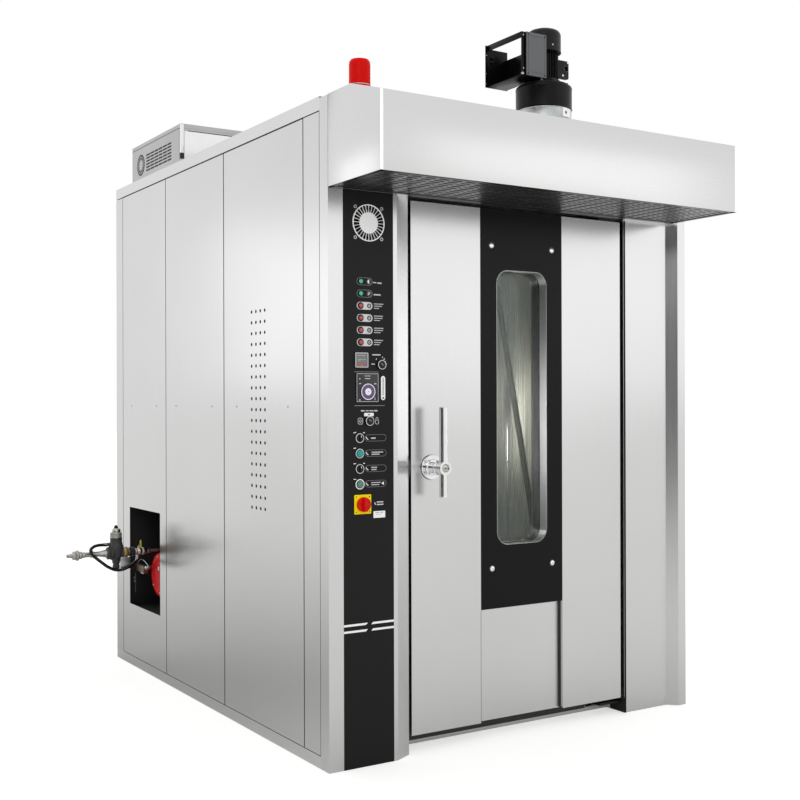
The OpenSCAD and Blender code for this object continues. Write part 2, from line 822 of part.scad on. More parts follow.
// Fire drum, smoke tubes, collecting box and flue in one welding
module heat_exchanger() {
    wall = 6;
    box_hw = 90;
    collar = 20;
    foot_w = 40;
    pipe_r = flue_r - 7;
    tube_step = (tube_x1 - tube_x0) / (tube_count - 1);
    color("#7f7a72") on_floor() difference() {
        union() {
            along_x(drum_x0, burner_y, burner_z, drum_r, drum_x1 - drum_x0);
            for (i = [0 : tube_count - 1]) {
                translate([tube_x0 + i * tube_step, burner_y, burner_z])
                    cylinder(r = tube_r, h = header_z - burner_z + 1);
            }
            block([tube_x0 - 2 * tube_r, burner_y - box_hw, header_z],
                  [tube_x1 + 2 * tube_r, burner_y + box_hw, header_z + header_h]);
            for (x = [drum_x0 + 2 * foot_w, drum_x1 - 3 * foot_w]) {
                block([x, burner_y - drum_r / 2, floor_t], [x + foot_w, burner_y + drum_r / 2, burner_z]);
            }
            translate([flue_cx, burner_y, header_z + header_h - 1])
                cylinder(r = pipe_r, h = body_h - header_z - header_h + 2);
            translate([flue_cx, burner_y, body_h]) cylinder(r = flue_r + collar, h = sheet);
            translate([flue_cx, burner_y, body_h]) cylinder(r = flue_r, h = flue_h);
        }
        along_x(drum_x0 + wall, burner_y, burner_z, drum_r - wall, drum_x1 - drum_x0 - 2 * wall);
        along_x(drum_x0 - 1, burner_y, burner_z, blast_r + soffit_gap, 2 * wall);
        translate([flue_cx, burner_y, header_z + wall])
            cylinder(r = pipe_r - sheet, h = body_h + flue_h - header_z);
    }
}

// Burner: round fan housing, blast tube and the flange against the fire drum
module burner_housing() {
    rim = 6;
    color("#c8141c") on_floor() {
        along_x(burner_in, burner_y, burner_z, burner_r - rim, burner_l);
        along_x(burner_in + rim, burner_y, burner_z, burner_r, burner_l - 2 * rim);
        along_x(burner_in + burner_l - 1, burner_y, burner_z, blast_r, drum_x0 + 15 - burner_in - burner_l);
        along_x(drum_x0 - 8, burner_y, burner_z, blast_r + 30, 8);
    }
}

// Hose tail, union nut and inlet pipe
module gas_inlet_nozzle() {
    tail_l = 47;
    nut_l = 25;
    nut_r = 22;
    tail_r = 8;
    pipe_end = regulator_x - regulator_r - 15;
    color(machined) on_floor() {
        along_x(nozzle_x, gas_y, gas_z, tail_r, tail_l);
        along_x(nozzle_x + tail_l, gas_y, gas_z, nut_r, nut_l, 6);
        along_x(nozzle_x + tail_l + nut_l, gas_y, gas_z, gas_r, pipe_end - nozzle_x - tail_l - nut_l);
    }
}

// Pressure regulator with its bonnet and the port of the impulse hose
module gas_regulator() {
    foot_z = gas_z - 72;
    body_z0 = gas_z - 34;
    body_z1 = gas_z + 70;
    port_z = gas_z + 40;
    inlet_x = regulator_x - regulator_r - 15;
    outlet_x = regulator_x + regulator_r + 15;
    color(cast_black) on_floor() {
        translate([regulator_x, gas_y, foot_z]) cylinder(r = 16, h = body_z0 - foot_z);
        translate([regulator_x, gas_y, body_z0]) cylinder(r = regulator_r, h = body_z1 - body_z0);
        translate([regulator_x, gas_y, body_z1]) cylinder(r = regulator_r - 1, h = 26);
        translate([regulator_x, gas_y, body_z1 + 26]) cylinder(r = regulator_r - 9, h = 16);
        translate([regulator_x, gas_y, body_z1 + 42]) cylinder(r = 9, h = 14);
        along_x(inlet_x, gas_y, gas_z, regulator_r - 1, 22);
        along_x(regulator_x, gas_y, gas_z, regulator_r - 8, outlet_x - regulator_x);
        along_x(inlet_x - 2, gas_y, port_z, hose_r + 2, regulator_x - inlet_x);
    }
}

// Fittings, ball valve and the stem of its lever
module ball_valve() {
    fitting_x = regulator_x + regulator_r + 15;
    ring_x = fitting_x + 19;
    body_x = ring_x + 30;
    body_r = 16;
    body_end = 5;
    port_x = valve_x - 8;
    color(machined) on_floor() {
        along_x(fitting_x, gas_y, gas_z, 17, 19, 6);
        along_x(ring_x, gas_y, gas_z, 20, 30);
        along_x(body_x, gas_y, gas_z, body_r, body_end - body_x);
        translate([valve_x, gas_y, gas_z]) cylinder(r = 4, h = 24);
        translate([port_x, gas_y, gas_z - 30]) cylinder(r = hose_r + 2, h = 20);
    }
}

// Yellow lever on the ball valve's stem
module valve_lever() {
    hub_z = gas_z + 17;
    color("#d8c21a") on_floor() {
        difference() {
            union() {
                translate([valve_x, gas_y, hub_z]) cylinder(r = 9, h = 5);
                block([valve_x - 2, gas_y - 22, hub_z], [valve_x + 2, gas_y - 5, hub_z + 5]);
            }
            translate([valve_x, gas_y, hub_z - 1]) cylinder(r = 4 + run_gap, h = 12);
        }
        block([valve_x - 2, gas_y - 24, hub_z], [valve_x + 2, gas_y - 14, hub_z + 36]);
    }
}

// Pipe from the valve to the burner, with the solenoid block beside the housing
module burner_pipe() {
    pipe_r = 7;
    elbow_x = burner_in + 90;
    elbow_s = 12;
    color("#8d9093") on_floor() {
        along_x(5, gas_y, gas_z, pipe_r, elbow_x - elbow_s - 4);
        block([elbow_x - elbow_s, gas_y - elbow_s, burner_z + burner_r],
              [elbow_x + elbow_s, gas_y + elbow_s, gas_z + elbow_s]);
        block([burner_in + 6, burner_y + burner_r, burner_z - 14],
              [burner_in + 46, burner_y + burner_r + 76, burner_z + 34]);
    }
}

// Route of the impulse hose, from the gas line's middle above the casing's left side
hose_route = [
    [-185, 0, 40], [-215, -2, 44], [-246, -12, 38], [-268, -26, 18], [-270, -34, -10],
    [-250, -38, -38], [-222, -40, -60], [-188, -40, -74], [-148, -38, -77], [-110, -34, -71],
    [-76, -24, -60], [-50, -8, -52], [-40, 0, -30]
];
hose_step = 4;
hose_sides = 8;

// A point between two route points, on a curve through all of them
function curve_point(a, b, c, d, t) =
    0.5 * (2 * b + (c - a) * t + (2 * a - 5 * b + 4 * c - d) * t * t + (3 * b - a - 3 * c + d) * t * t * t);

function unit(v) = v / norm(v);

// Hose between the regulator and the valve, held at both ends
module impulse_hose() {
    last = len(hose_route) - 1;
    points = [
        for (i = [0 : last - 1], j = [0 : hose_step - 1])
            curve_point(hose_route[max(i - 1, 0)], hose_route[i], hose_route[i + 1],
                        hose_route[min(i + 2, last)], j / hose_step),
        hose_route[last]
    ];
    rings = len(points);
    ring_points = [
        for (i = [0 : rings - 1])
            let (
                along = i == 0 ? [-1, 0, 0] : i == rings - 1 ? [0, 0, 1]
                    : unit(points[i + 1] - points[i - 1]),
                side = unit(cross(along, [0, 1, 0])),
                up = cross(side, along)
            )
            for (k = [0 : hose_sides - 1])
                points[i] + hose_r * (cos(k * 360 / hose_sides) * side + sin(k * 360 / hose_sides) * up)
    ];
    walls = [
        for (i = [0 : rings - 2], k = [0 : hose_sides - 1])
            let (n = (k + 1) % hose_sides, a = i * hose_sides, b = a + hose_sides)
            each [[a + k, a + n, b + n], [a + k, b + n, b + k]]
    ];
    ends = [
        [for (k = [hose_sides - 1 : -1 : 0]) k],
        [for (k = [0 : hose_sides - 1]) (rings - 1) * hose_sides + k]
    ];
    color("#17181a") on_floor() translate([0, gas_y, gas_z])
        polyhedron(points = ring_points, faces = concat(walls, ends));
}

// Box on the roof over the circulation fan's motor, with its fan guard and louvres
module roof_box() {
    guard_y = roof_box_y + roof_box_d * 0.81;
    guard_box_z = body_h + 63;
    louvre_y0 = roof_box_y + 109;
    louvre_l = 46;
    louvre_pitch = 53;
    louvre_rows = 6;
    louvre_step = 14;
    louvre_w = 6;
    lid_z = body_h + roof_box_h - 18;
    frame_w = 18;
    box_top = body_h + roof_box_h;
    color(brushed) on_floor() difference() {
        block([0, roof_box_y, body_h], [roof_box_w, roof_box_y + roof_box_d, box_top]);
        block([sheet, roof_box_y + sheet, body_h - 1],
              [roof_box_w - sheet, roof_box_y + roof_box_d - sheet, box_top - sheet]);
        block([-1, roof_box_y - 1, lid_z], [sheet / 3, roof_box_y + roof_box_d + 1, lid_z + 3]);
        block([frame_w, roof_box_y - 1, body_h + frame_w],
              [roof_box_w - frame_w, roof_box_y + sheet / 2, box_top - frame_w]);
        for (i = [0 : 5], j = [0 : louvre_rows - 1]) {
            translate([-1, louvre_y0 + i * louvre_pitch, body_h + 24 + j * louvre_step])
                cube([sheet + 2, louvre_l, louvre_w]);
        }
        for (a = [0 : 30 : 330]) {
            translate([-1, guard_y, guard_box_z]) rotate([a, 0, 0])
                block([0, 26, -4], [sheet + 2, 46, 4]);
        }
    }
}

// Motor of the circulation fan, standing on the roof
module circulation_motor() {
    flange = 12;
    color(cast_black) on_floor() translate([wheel_cx, wheel_cy, body_h]) difference() {
        union() {
            cylinder(r = wheel_motor_r + 15, h = flange);
            cylinder(r = wheel_motor_r, h = wheel_motor_h);
        }
        translate([0, 0, -1]) cylinder(r = wheel_shaft_r + run_gap, h = wheel_motor_h - flange);
    }
}

// Circulation fan: shaft, back plate, blades and the ring below them
module circulation_fan() {
    plate = 6;
    blades = 12;
    blade_in = wheel_r * 0.55;
    color("#8b8e90") on_floor() translate([wheel_cx, wheel_cy, 0]) {
        translate([0, 0, wheel_z]) cylinder(r = wheel_shaft_r, h = body_h + wheel_motor_h / 2 - wheel_z);
        translate([0, 0, wheel_z + wheel_h - plate]) cylinder(r = wheel_r, h = plate);
        translate([0, 0, wheel_z]) difference() {
            cylinder(r = wheel_r, h = plate);
            translate([0, 0, -1]) cylinder(r = blade_in, h = plate + 2);
        }
        for (i = [0 : blades - 1]) {
            rotate([0, 0, i * 360 / blades])
                block([blade_in + 4, -1.5, wheel_z + 2], [wheel_r - 4, 1.5, wheel_z + wheel_h - 2]);
        }
    }
}

// Red beacon on the hood's top
module beacon() {
    base_h = 12;
    round_r = 10;
    color("#d4151b") on_floor() translate([66, -100, hood_top]) {
        cylinder(r = beacon_r, h = base_h);
        rotate_extrude() {
            square([beacon_r - 1, beacon_h - round_r]);
            square([beacon_r - 1 - round_r, beacon_h]);
            translate([beacon_r - 1 - round_r, beacon_h - round_r]) circle(r = round_r);
        }
    }
}

// Steel collar under the extractor's housing
module fan_collar() {
    color("#a8aaac") on_floor()
        tube(extractor_x, -extractor_out, collar_z, extractor_r - 2, extractor_r - 5, collar_h);
}

// Black housing of the extractor, closed above round the motor's shaft
module extractor_housing() {
    lid = 6;
    color(cast_black) on_floor() translate([extractor_x, -extractor_out, housing_z]) difference() {
        cylinder(r = extractor_r, h = extractor_h);
        translate([0, 0, -1]) cylinder(r = extractor_r - 4, h = extractor_h - lid + 1);
        cylinder(r = motor_shaft_r + 1, h = extractor_h + 1);
    }
}

// Extractor's impeller on the motor's shaft, with the cooling fan at the shaft's far end
module extractor_impeller() {
    blades = 8;
    hub_r = 26;
    tip_r = extractor_r - 10;
    low = collar_z + 12;
    blade_h = collar_h + extractor_h - 30;
    cool_r = cowl_r - 10;
    color("#6e7174") on_floor() translate([extractor_x, -extractor_out, 0]) {
        translate([0, 0, low]) cylinder(r = motor_shaft_r, h = cowl_z + 30 - low);
        translate([0, 0, low]) cylinder(r = hub_r, h = blade_h);
        translate([0, 0, cowl_z + 14]) cylinder(r = cool_r, h = 3);
        for (i = [0 : blades - 1]) {
            rotate([0, 0, i * 360 / blades]) {
                block([hub_r - 4, -1.5, low + 2], [tip_r, 1.5, low + blade_h - 2]);
                block([motor_shaft_r - 4, -1.5, cowl_z + 16], [cool_r - 4, 1.5, cowl_z + 28]);
            }
        }
    }
}

// Finned motor body on its flange, with the lifting lug
module motor_body() {
    fin_out = 6;
    fin_t = 2.5;
    lug_x0 = motor_r - 2;
    lug_x1 = 104;
    color(cast_black) on_floor() translate([extractor_x, -extractor_out, motor_z]) difference() {
        union() {
            cylinder(r = 80, h = flange_t);
            cylinder(r = motor_r, h = flange_t + motor_h);
            for (i = [0 : fin_count - 1]) {
                rotate([0, 0, i * 360 / fin_count])
                    block([motor_r - 2, -fin_t / 2, flange_t - 1],
                          [motor_r + fin_out, fin_t / 2, flange_t + motor_h - 6]);
            }
            block([lug_x0, -22, 38], [lug_x1, -8, 106]);
        }
        translate([0, 0, -1]) cylinder(r = motor_shaft_r + run_gap, h = flange_t + motor_h + 2);
        along_y(84, -30, 72, 10, 40);
    }
}

// Cowl over the motor's cooling fan
module motor_cowl() {
    wall = 3;
    round_r = 22;
    color(cast_black) on_floor() translate([extractor_x, -extractor_out, cowl_z]) difference() {
        rotate_extrude() {
            square([cowl_r, cowl_h - round_r]);
            square([cowl_r - round_r, cowl_h]);
            translate([cowl_r - round_r, cowl_h - round_r]) circle(r = round_r);
        }
        translate([0, 0, 8]) cylinder(r = cowl_r - wall, h = cowl_h - 8 - round_r);
        translate([0, 0, -1]) cylinder(r = motor_shaft_r + 1, h = 20);
    }
}

// Terminal box beside the motor, with the open bracket behind it
module terminal_box() {
    low = fins_z;
    high = low + 158;
    face_x0 = extractor_x - 133;
    face_x1 = extractor_x - 40;
    face_y = -extractor_out - 54;
    arm_x0 = extractor_x - 149;
    arm_x1 = extractor_x - 60;
    arm_y1 = 105;
    plate = 3;
    color(cast_black) on_floor() {
        block([face_x0, face_y - 12, low], [face_x1, face_y, high]);
        block([arm_x0, face_y - 3, low], [face_x0, face_y, high]);
        block([arm_x0, face_y, low], [arm_x1, arm_y1, low + plate]);
        block([arm_x0, arm_y1 - plate, low], [arm_x1, arm_y1, high - 14]);
        block([arm_x0, face_y, high - 14], [arm_x0 + 4, arm_y1, high]);
        block([arm_x1 - plate, face_y, low], [arm_x1, arm_y1, low + motor_h - 4]);
        block([arm_x0 - 8, arm_y1 - plate, low], [arm_x0, arm_y1, high]);
    }
}

// Gear motor that turns the carrier, on the roof over the chamber
module drive_gearmotor() {
    color("#4d6a80") on_floor() translate([door_cx, chamber_cy, body_h]) difference() {
        union() {
            block([-gearbox_s / 2, -gearbox_s / 2, 0], [gearbox_s / 2, gearbox_s / 2, gearbox_h]);
            along_x(gearbox_s / 2 - 1, 0, drive_motor_r + 4, drive_motor_r, drive_motor_l);
        }
        translate([0, 0, -1]) cylinder(r = shaft_r + run_gap, h = gearbox_h + 2);
    }
}

// Carrier's shaft, with the collar it hangs by and the flange on the beam
module carrier_shaft() {
    flange = 12;
    color(machined) on_floor() translate([door_cx, chamber_cy, 0]) {
        translate([0, 0, beam_top]) cylinder(r = 2.4 * shaft_r, h = flange);
        translate([0, 0, beam_top + flange]) cylinder(r = shaft_r, h = body_h + gearbox_h - beam_top);
        translate([0, 0, body_h + gearbox_h + 0.3]) cylinder(r = 1.6 * shaft_r, h = flange);
    }
}

// Carrier: four posts, beams over and under them, and a brace in each side
module carrier_frame() {
    half = carrier_tube / 2;
    brace_t = 8;
    foot_h = 20;
    brace_run = carrier_hd;
    brace_low = beam_z * 0.3;
    color("#8f9294") on_floor() translate([door_cx, chamber_cy, 0]) {
        for (side = [-1, 1]) {
            x = side * carrier_hw;
            for (y = [-carrier_hd, carrier_hd]) {
                block([x - half, y - half, carrier_z], [x + half, y + half, beam_z]);
            }
            block([x - half, -carrier_hd - half, beam_z], [x + half, carrier_hd + half, beam_top]);
            block([x - half, -carrier_hd + half, carrier_z],
                  [x + half, carrier_hd - half, carrier_z + foot_h]);
            for (end = [-1, 1]) {
                translate([x, end * half, beam_z])
                    rotate([end * atan2(brace_run - 2 * half, beam_z - brace_low), 0, 0])
                        block([-brace_t / 2, -half, -norm([brace_run - 2 * half, beam_z - brace_low])],
                              [brace_t / 2, half, 2]);
            }
        }
        block([-carrier_hw + half, -half, beam_z], [carrier_hw - half, half, beam_top]);
    }
}

// Turntable under the posts, running on the floor's stub
module carrier_turntable() {
    color("#a2a4a5") on_floor()
        tube(door_cx, chamber_cy, turntable_z, turntable_r, shaft_r - hole_gap + run_gap, turntable_t);
}

// Insulated core of the door: window aperture, pivot bores, spindle hole, bolt channel
// and the chamfer that lets its hinge edge swing past the mouth frame
module door_core() {
    channel_x1 = door_x0 + 112 + bolt_travel;
    chamfer = 5;
    color(liner_grey) on_floor() difference() {
        block([door_x0 + sheet, core_y, door_z], [door_x1 - sheet, door_back, door_top]);
        translate([door_x1 - sheet, door_back, door_z - 1]) rotate([0, 0, 45])
            translate([-chamfer, -chamfer, 0]) cube([2 * chamfer, 2 * chamfer, body_h]);
        window_prism(core_y - 1, door_t);
        translate([pivot_x, pivot_y, door_z - 1]) cylinder(r = pivot_r + run_gap, h = pivot_l + 2);
        translate([pivot_x, pivot_y, door_top - pivot_l - 1])
            cylinder(r = pivot_r + run_gap, h = pivot_l + 2);
        along_y(handle_cx, core_y - 1, handle_z, spindle_r + run_gap, bolt_y - core_y + 2);
        block([door_x0 - 1, bolt_y - 0.3, handle_z - bolt_s / 2 - 0.3],
              [channel_x1, bolt_y + bolt_s + 0.3, handle_z + bolt_s / 2 + 0.3]);
    }
}

// A front skin of the door: a tray with its edges folded back to the core
module skin_tray(x0, x1, z0, z1) {
    difference() {
        block([x0, door_y, z0], [x1, core_y, z1]);
        block([x0 + sheet, door_y + sheet, z0 + sheet], [x1 - sheet, core_y + 1, z1 - sheet]);
    }
}

// Left and right skins of the door and the recessed lower panel between them
module door_skins() {
    color(brushed) on_floor() {
        difference() {
            skin_tray(door_x0, middle_x0 - skin_seam, door_z, door_top);
            along_y(handle_cx, door_y - 1, handle_z, spindle_r + run_gap, sheet + 2);
        }
        skin_tray(middle_x1 + skin_seam, door_x1, door_z, door_top);
        block([middle_x0, core_y - sheet, door_z], [middle_x1, core_y, lower_top - skin_seam]);
    }
}

// Black front plate with the window's opening and its sleeve back to the core
module door_black_panel() {
    color(black_plate) on_floor() difference() {
        union() {
            difference() {
                block([middle_x0, door_y, lower_top], [middle_x1, core_y, door_top]);
                block([middle_x0 + sheet, door_y + black_t, lower_top + sheet],
                      [middle_x1 - sheet, core_y + 1, door_top - sheet]);
            }
            window_prism(door_y + 1, skin_d - 1, -sheet);
        }
        window_prism(door_y - 1, skin_d + 2);
    }
}

// Four round screws that hold the black plate
module door_screws() {
    screw_r = 11;
    screw_dx = 143;
    screw_low = window_z - 84;
    screw_high = window_z + window_h + 88;
    color(machined) on_floor() for (side = [-1, 1], z = [screw_low, screw_high]) {
        along_y(window_cx + side * screw_dx, door_y - 4, z, screw_r, 4);
    }
}

// Outer and inner pane of the window
module window_glass() {
    pane_gap = 0.3;
    color("#c9dcd8", 0.4) on_floor() {
        window_prism(door_y + outer_pane_y, pane_t, pane_gap);
        window_prism(door_y + inner_pane_y, pane_t, pane_gap);
    }
}

// Rubber seal on the door's back and the sweep under the door
module door_seal() {
    x0 = door_x0 + seal_inset;
    x1 = door_x1 - seal_inset;
    z1 = door_top - seal_inset;
    sweep_t = 10;
    sweep_gap = 3;
    sweep_end = 80;
    color("#2b2b2b") on_floor() {
        difference() {
            block([x0, door_back, door_z], [x1, door_back + seal_t, z1]);
            block([x0 + seal_w, door_back - 1, door_z - 1],
                  [x1 - seal_w, door_back + seal_t + 1, z1 - seal_w]);
        }
        block([x0, door_back - sweep_t, floor_z + sweep_gap], [pivot_x - sweep_end, door_back, door_z]);
    }
}

// Arms with the pins that the door turns on, below and above it
module hinge_pivots() {
    arm_hw = 22;
    low_z = door_z - 15;
    reach = 60;
    color("#3a3c3e") on_floor() {
        block([pivot_x - reach, pivot_y - arm_hw, low_z - pivot_arm_t], [right_x0, pivot_y + arm_hw, low_z]);
        translate([pivot_x, pivot_y, low_z - 1]) cylinder(r = pivot_r, h = door_z + pivot_l - low_z);
        block([pivot_x - reach, pivot_y - arm_hw, hood_z - pivot_arm_t],
              [right_x0, pivot_y + arm_hw, hood_z]);
        translate([pivot_x, pivot_y, door_top - pivot_l + 1])
            cylinder(r = pivot_r, h = hood_z - door_top + pivot_l - 2);
    }
}

// Round rose under the handle, with its four screws
module handle_rose() {
    rose_t = 6;
    screw_ring = rose_r - 10;
    color(machined) on_floor() difference() {
        union() {
            along_y(handle_cx, door_y - rose_t, handle_z, rose_r, rose_t);
            for (a = [45 : 90 : 315]) {
                along_y(handle_cx + screw_ring * cos(a), door_y - rose_t - 2,
                        handle_z + screw_ring * sin(a), 5, 3);
            }
        }
        along_y(handle_cx, door_y - rose_t - 1, handle_z, spindle_r + run_gap, rose_t + 2);
    }
}

// Handle: upright lever tube, boss, neck and the spindle through the door
module handle_lever() {
    tube_y = door_y - lever_out;
    neck_y1 = door_y - 6.3;
    boss_r = neck_r + 2;
    wall = 3;
    bore_l = 14;
    color(machined) on_floor() difference() {
        union() {
            translate([handle_cx, tube_y, handle_z - lever_down])
                cylinder(r = lever_r, h = lever_down + lever_up);
            along_y(handle_cx, tube_y - lever_r, handle_z, boss_r, 2 * lever_r);
            along_y(handle_cx, tube_y, handle_z, neck_r, neck_y1 - tube_y);
            along_y(handle_cx, tube_y, handle_z, spindle_r, bolt_y - 0.6 - tube_y);
        }
        for (end = [handle_z + lever_up - bore_l, handle_z - lever_down - 1]) {
            translate([handle_cx, tube_y, end]) cylinder(r = lever_r - wall, h = bore_l + 1);
        }
        along_y(handle_cx, tube_y - lever_r - 1, handle_z, boss_r - 8, 7);
    }
}

// Bolt that the spindle draws back into the door's edge
module latch_bolt() {
    color(machined) on_floor()
        block([column_w + bolt_tip_gap, bolt_y, handle_z - bolt_s / 2],
              [door_x0 + 110, bolt_y + bolt_s, handle_z + bolt_s / 2]);
}

// Guard of the cabinet fan on the panel, and the fan's frame behind it
module fan_guard() {
    disc_r = 0.56 * guard_r;
    slot_out = 0.88 * guard_r;
    frame_y = panel_t;
    hub_r = 20;
    color("#e6e7e7") on_floor() {
        translate([guard_x, 0, guard_z]) rotate([90, 0, 0]) linear_extrude(height = 4) difference() {
            circle(r = guard_r);
            for (i = [0 : guard_slots - 1]) {
                rotate([0, 0, i * 360 / guard_slots])
                    translate([disc_r, -2.6]) square([slot_out - disc_r, 5.2]);
            }
        }
        for (side = [-1, 1], up = [-1, 1]) {
            along_y(guard_x + side * 52.5, -3, guard_z + up * 52.5, 4.5, 3);
        }
        translate([guard_x, frame_y, guard_z]) {
            difference() {
                block([-fan_side / 2, 0, -fan_side / 2], [fan_side / 2, fan_depth, fan_side / 2]);
                along_y(0, -1, 0, fan_side / 2 - 3, fan_depth + 2);
            }
            along_y(0, fan_depth - 8, 0, hub_r, 8);
            along_y(0, 8, 0, 3, fan_depth - 12);
            for (a = [45 : 90 : 315]) {
                rotate([0, a, 0]) block([hub_r - 2, fan_depth - 6, -2], [fan_side / 2 - 2, fan_depth, 2]);
            }
        }
    }
}

// Rotor of the cabinet fan, on the pin of the fan's frame
module cabinet_fan() {
    hub_r = 20;
    blades = 7;
    color(black_plate) on_floor() translate([guard_x, panel_t + 4, guard_z]) difference() {
        union() {
            along_y(0, 0, 0, hub_r, 25);
            for (i = [0 : blades - 1]) {
                rotate([0, i * 360 / blades, 0]) translate([hub_r - 1, 12, 0]) rotate([35, 0, 0])
                    block([0, -12, -1], [fan_side / 2 - 6 - hub_r, 12, 1]);
            }
        }
        along_y(0, 3, 0, 3 + run_gap, 30);
    }
}

// Timer and temperature controller, each a bezel with its case behind the panel
module panel_instruments() {
    bezel_t = 3;
    rim = 4.2;
    color("#5d6165") on_floor() difference() {
        union() {
            for (size = [[timer_x, timer_z, timer_s, timer_s],
                         [controller_x, controller_z, controller_w, controller_h]]) {
                hw = size[2] / 2;
                hh = size[3] / 2;
                block([size[0] - hw, -bezel_t, size[1] - hh], [size[0] + hw, 0, size[1] + hh]);
                block([size[0] - hw + rim, -1, size[1] - hh + rim],
                      [size[0] + hw - rim, device_d, size[1] + hh - rim]);
            }
        }
        along_y(controller_x, -bezel_t - 1, dial_z, 3 + run_gap, 10);
    }
}

// Ring and contact block of a push button or selector
module device_mount(z) {
    ring_t = 4;
    block_d = 14;
    difference() {
        along_y(selector_x, -ring_t, z, button_r + button_ring, ring_t);
        along_y(selector_x, -ring_t - 1, z, button_r + run_gap, ring_t + 2);
    }
    difference() {
        along_y(selector_x, panel_t, z, button_r + 2, device_d - panel_t);
        along_y(selector_x, panel_t - 1, z, button_r - 2 + run_gap, block_d + button_travel + 2);
    }
}

// Pot behind a small knob
module knob_pot(x, z, r, bore) {
    difference() {
        along_y(x, panel_t, z, r, 16);
        along_y(x, panel_t - 1, z, bore + run_gap, 14);
    }
}

// Lamps, rings, contact blocks, pots and the main switch's plate: all that is fixed to the panel
module panel_fittings() {
    lamp_out = 5;
    plate_t = 4;
    color("#8e9296") on_floor() {
        for (i = [0 : 5]) {
            along_y(lamp_x, -lamp_out, lamp_top_z - i * lamp_pitch, lamp_r + 2, lamp_out);
            along_y(lamp_x, -1, lamp_top_z - i * lamp_pitch, lamp_r - run_gap, 30);
        }
        for (i = [0 : 3]) {
            device_mount(selector_top_z - i * selector_pitch);
        }
        knob_pot(timer_knob_x, timer_knob_z, 10, 3);
        knob_pot(steam_knob_x, steam_knob_z, 10, 3);
        knob_pot(switch_x, switch_z, 24, 5);
        difference() {
            block([switch_x - switch_s / 2, -plate_t, switch_z - switch_s / 2],
                  [switch_x + switch_s / 2, 0, switch_z + switch_s / 2]);
            along_y(switch_x, -plate_t - 1, switch_z, 5 + run_gap, plate_t + 2);
        }
    }
}

// A round knob with its pointer and spindle
module knob(x, z, r, front, back, spindle, spindle_end) {
    along_y(x, front, z, r, back - front);
    along_y(x, back - 1, z, spindle, spindle_end - back + 1);
    block([x - 1.5, front - 1, z], [x + 1.5, front + 1, z + r - 1]);
}

// Knob beside the timer
module timer_knob() {
    color(black_plate) on_floor()
        knob(timer_knob_x, timer_knob_z, knob_r, -knob_l, -0.3, 3, panel_t + 10);
}

// Dial on the temperature controller
module controller_dial() {
    color("#c9c4dc") on_floor() {
        along_y(controller_x, -8, dial_z, dial_r, 4.7);
        along_y(controller_x, -5, dial_z, 3, 8);
    }
}

// Knob of the steam setting
module steam_knob() {
    color(black_plate) on_floor()
        knob(steam_knob_x, steam_knob_z, knob_r, -knob_l, -0.3, 3, panel_t + 10);
}

// A selector: head in its ring, spindle and grip bar
module selector(z) {
    along_y(selector_x, -7, z, button_r, 6.7);
    along_y(selector_x, -1, z, button_r - 2, 15);
    block([selector_x - 3, -12, z - button_r + 1.5], [selector_x + 3, -6, z + button_r - 1.5]);
}

// Upper selector
module upper_selector() {
    color(black_plate) on_floor() selector(selector_top_z);
}

// Lower selector
module lower_selector() {
    color(black_plate) on_floor() selector(selector_top_z - 2 * selector_pitch);
}

// A push button: head in its ring and spindle
module push_button(z) {
    head_back = -button_travel - 0.3;
    along_y(selector_x, -8, z, button_r, head_back + 8);
    along_y(selector_x, head_back - 1, z, button_r - 2, 14 - head_back);
}

// Start button
module start_button() {
    color("#2c8c80") on_floor() push_button(selector_top_z - selector_pitch);
}

// Button of the chamber's lamp
module lamp_button() {
    color("#3aa08c") on_floor() push_button(selector_top_z - 3 * selector_pitch);
}

// Red knob of the main switch
module main_switch_knob() {
    color("#c81e1e") on_floor() {
        along_y(switch_x, -16, switch_z, switch_r, 11.7);
        along_y(switch_x, -5, switch_z, 5, 16);
        block([switch_x - 6, -27, switch_z - switch_r + 2], [switch_x + 6, -15, switch_z + switch_r - 2]);
    }
}

base_frame();
roof_panel();
control_column();
control_panel();
right_column();
header_panel();
hood_shell();
hood_grille();
left_panels();
right_panels();
rear_panel();
mouth_frame();
chamber_floor();
chamber_walls();
chamber_ceiling();
insulation();
heat_exchanger();
burner_housing();
gas_inlet_nozzle();
gas_regulator();
ball_valve();
valve_lever();
burner_pipe();
impulse_hose();
roof_box();
circulation_motor();
circulation_fan();
beacon();
fan_collar();
extractor_housing();
extractor_impeller();
motor_body();
motor_cowl();
terminal_box();
drive_gearmotor();
carrier_shaft();
carrier_frame();
carrier_turntable();
door_core();
door_skins();
door_black_panel();
door_screws();
window_glass();
door_seal();
hinge_pivots();
handle_rose();
handle_lever();
latch_bolt();
fan_guard();
cabinet_fan();
panel_instruments();
panel_fittings();
timer_knob();
controller_dial();
steam_knob();
upper_selector();
lower_selector();
start_button();
lamp_button();
main_switch_knob();
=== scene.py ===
"""Finishes, small parts and studio of a rotating rack oven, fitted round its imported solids.

Lengths are millimetres from the casing's front left floor corner (x to the right, y to the
back, z up), until `at` turns them into metres in the model's own frame.
"""

import logging
import math
from dataclasses import dataclass
from enum import Enum
from functools import cache
from typing import ClassVar, Iterable, Sequence

import bpy
from mathutils import Matrix, Vector


